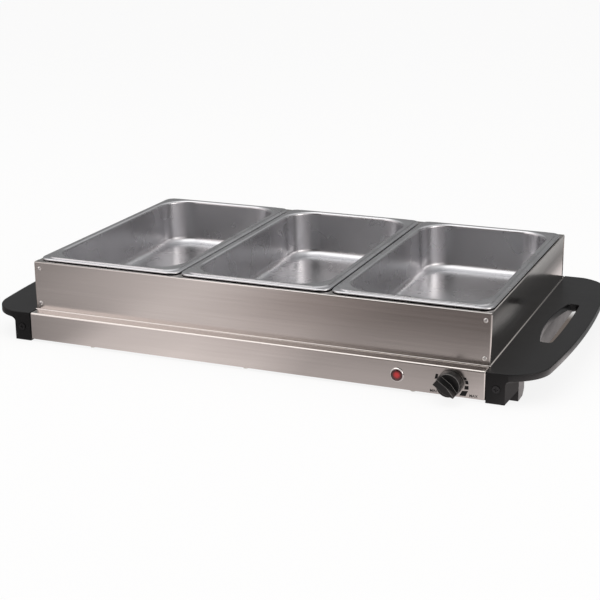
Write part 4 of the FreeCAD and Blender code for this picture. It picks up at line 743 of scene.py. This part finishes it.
class Shades:
    """The nodes of a world or of the floor: values, ramps and mixtures."""

    def __init__(self, tree):
        self.tree = tree
        tree.nodes.clear()

    def add(self, kind):
        return self.tree.nodes.new("ShaderNode" + kind)

    def join(self, start, end):
        self.tree.links.new(start, end)

    def axes(self, output):
        place = self.add("TexCoord")
        split = self.add("SeparateXYZ")
        self.join(place.outputs[output], split.inputs["Vector"])
        return split.outputs

    def between(self, value, start, end):
        """0 at the start and 1 at the end."""
        ranged = self.add("MapRange")
        ranged.interpolation_type = "SMOOTHSTEP"
        ranged.inputs["From Min"].default_value = start
        ranged.inputs["From Max"].default_value = end
        self.join(value, ranged.inputs["Value"])
        return ranged.outputs["Result"]

    def ramp(self, value, start, end, stops):
        """Light along a value: each stop has its place, its strength and its tint."""
        ranged = self.add("MapRange")
        ranged.inputs["From Min"].default_value = start
        ranged.inputs["From Max"].default_value = end
        self.join(value, ranged.inputs["Value"])
        node = self.add("ValToRGB")
        elements = node.color_ramp.elements
        while len(elements) > 1:
            elements.remove(elements[-1])
        for number, (place, strength, tint) in enumerate(stops):
            position = (place - start) / (end - start)
            element = elements[0] if number == 0 else elements.new(position)
            element.position = position
            element.color = (*shade(tint, strength), 1.0)
        self.join(ranged.outputs["Result"], node.inputs["Fac"])
        return node.outputs["Color"]

    def blend(self, factor, first, second):
        mix = self.add("Mix")
        mix.data_type = "RGBA"
        self.join(factor, mix.inputs[0])
        self.join(first, mix.inputs[6])
        self.join(second, mix.inputs[7])
        return mix.outputs[2]

    def times(self, first, second):
        step = self.add("Math")
        step.operation = "MULTIPLY"
        self.join(first, step.inputs[0])
        self.join(second, step.inputs[1])
        return step.outputs["Value"]

    def glow(self, kind, colour):
        light = self.add(kind)
        if isinstance(colour, tuple):
            light.inputs["Color"].default_value = (*colour, 1.0)
        else:
            self.join(colour, light.inputs["Color"])
        return light.outputs[0]

    def either(self, factor, first, second):
        mix = self.add("MixShader")
        if isinstance(factor, float):
            mix.inputs["Fac"].default_value = factor
        else:
            self.join(factor, mix.inputs["Fac"])
        self.join(first, mix.inputs[1])
        self.join(second, mix.inputs[2])
        return mix.outputs["Shader"]


def make_world():
    """White behind the object; round it a bright ceiling, a dim room and a bright window at the left."""
    world = bpy.data.worlds.new("studio")
    world.use_nodes = True
    scene.world = world
    room = Shades(world.node_tree)
    way = room.axes("Generated")
    rear = room.ramp(way["Z"], -1.0, 1.0, REAR_LIGHT)
    front = room.ramp(way["X"], -1.0, 1.0, FRONT_LIGHT)
    low = room.between(way["Z"], *CEILING_EDGE)
    ahead = room.between(way["Y"], *AHEAD_EDGE)
    around = room.blend(room.times(low, ahead), rear, front)
    ray = room.add("LightPath")
    light = room.either(
        ray.outputs["Is Camera Ray"],
        room.glow("Background", around),
        room.glow("Background", PLAIN),
    )
    out = room.add("OutputWorld")
    room.join(light, out.inputs["Surface"])


def make_floor():
    """White paper; in the metal's reflections it has a pool of light at the left and is dim ahead; to the
    camera it has a painted shadow under the right handle's grip.
    """
    half = FLOOR_HALF
    corners = [(-half, -half, 0), (half, -half, 0), (half, half, 0), (-half, half, 0)]
    mesh = bpy.data.meshes.new("floor")
    mesh.from_pydata(corners, [], [(0, 1, 2, 3)])
    floor = bpy.data.objects.new("floor", mesh)
    scene.collection.objects.link(floor)
    material = bpy.data.materials.new("studio_floor")
    material.use_nodes = True
    paper = Shades(material.node_tree)
    place = paper.axes("Object")
    near = paper.ramp(place["X"], *FLOOR_SPAN, NEAR_FLOOR)
    far = paper.ramp(place["X"], *FLOOR_SPAN, FAR_FLOOR)
    behind = paper.ramp(place["X"], *FLOOR_SPAN, BEHIND_FLOOR)
    front = paper.blend(paper.between(place["Y"], *NEAR_TO_FAR), near, far)
    mirrored = paper.blend(paper.between(place["Y"], *FRONT_TO_BEHIND), front, behind)
    ray = paper.add("LightPath")
    skin = paper.add("BsdfDiffuse")
    skin.inputs["Color"].default_value = PAPER_COLOUR
    seen = paper.either(PAPER_GLOW, skin.outputs["BSDF"], paper.glow("Emission", PLAIN))
    beside = paper.times(
        paper.between(place["X"], *GRIP_INNER),
        paper.between(place["X"], *GRIP_OUTER),
    )
    along = paper.times(
        paper.between(place["Y"], *GRIP_FRONT),
        paper.between(place["Y"], *GRIP_REAR),
    )
    # Painted shadow: a dark brown glow on the floor under the right handle's grip, for camera rays only
    painted_grip_shadow = paper.glow("Emission", GRIP_PAINTED_SHADOW)
    seen = paper.either(paper.times(beside, along), seen, painted_grip_shadow)
    lit = paper.either(ray.outputs["Is Camera Ray"], skin.outputs["BSDF"], seen)
    light = paper.either(ray.outputs["Is Glossy Ray"], lit, paper.glow("Emission", mirrored))
    out = paper.add("OutputMaterial")
    paper.join(light, out.inputs["Surface"])
    mesh.materials.append(material)


def area_light(name, place, target, size, power, colour):
    data = bpy.data.lights.new(name, "AREA")
    data.size = size
    data.energy = power
    data.color = colour
    light = bpy.data.objects.new(name, data)
    aim = (Vector(target) - Vector(place)).to_track_quat("-Z", "Y")
    light.matrix_world = Matrix.Translation(place) @ aim.to_matrix().to_4x4()
    scene.collection.objects.link(light)


make_world()
make_floor()
area_light(
    "light_top",
    place=(-0.5, -0.4, 1.9),
    target=(0.0, 0.0, 0.0),
    size=2.0,
    power=12.0,
    colour=(1.0, 0.98, 0.96),
)
area_light(
    "light_right",
    place=(1.9, -0.5, 0.7),
    target=(0.2, 0.0, 0.05),
    size=0.9,
    power=7.0,
    colour=(1.0, 0.96, 0.92),
)

scene.view_settings.view_transform = "Standard"
scene.view_settings.look = "None"
scene.view_settings.exposure = 0.0
scene.view_settings.gamma = 1.0
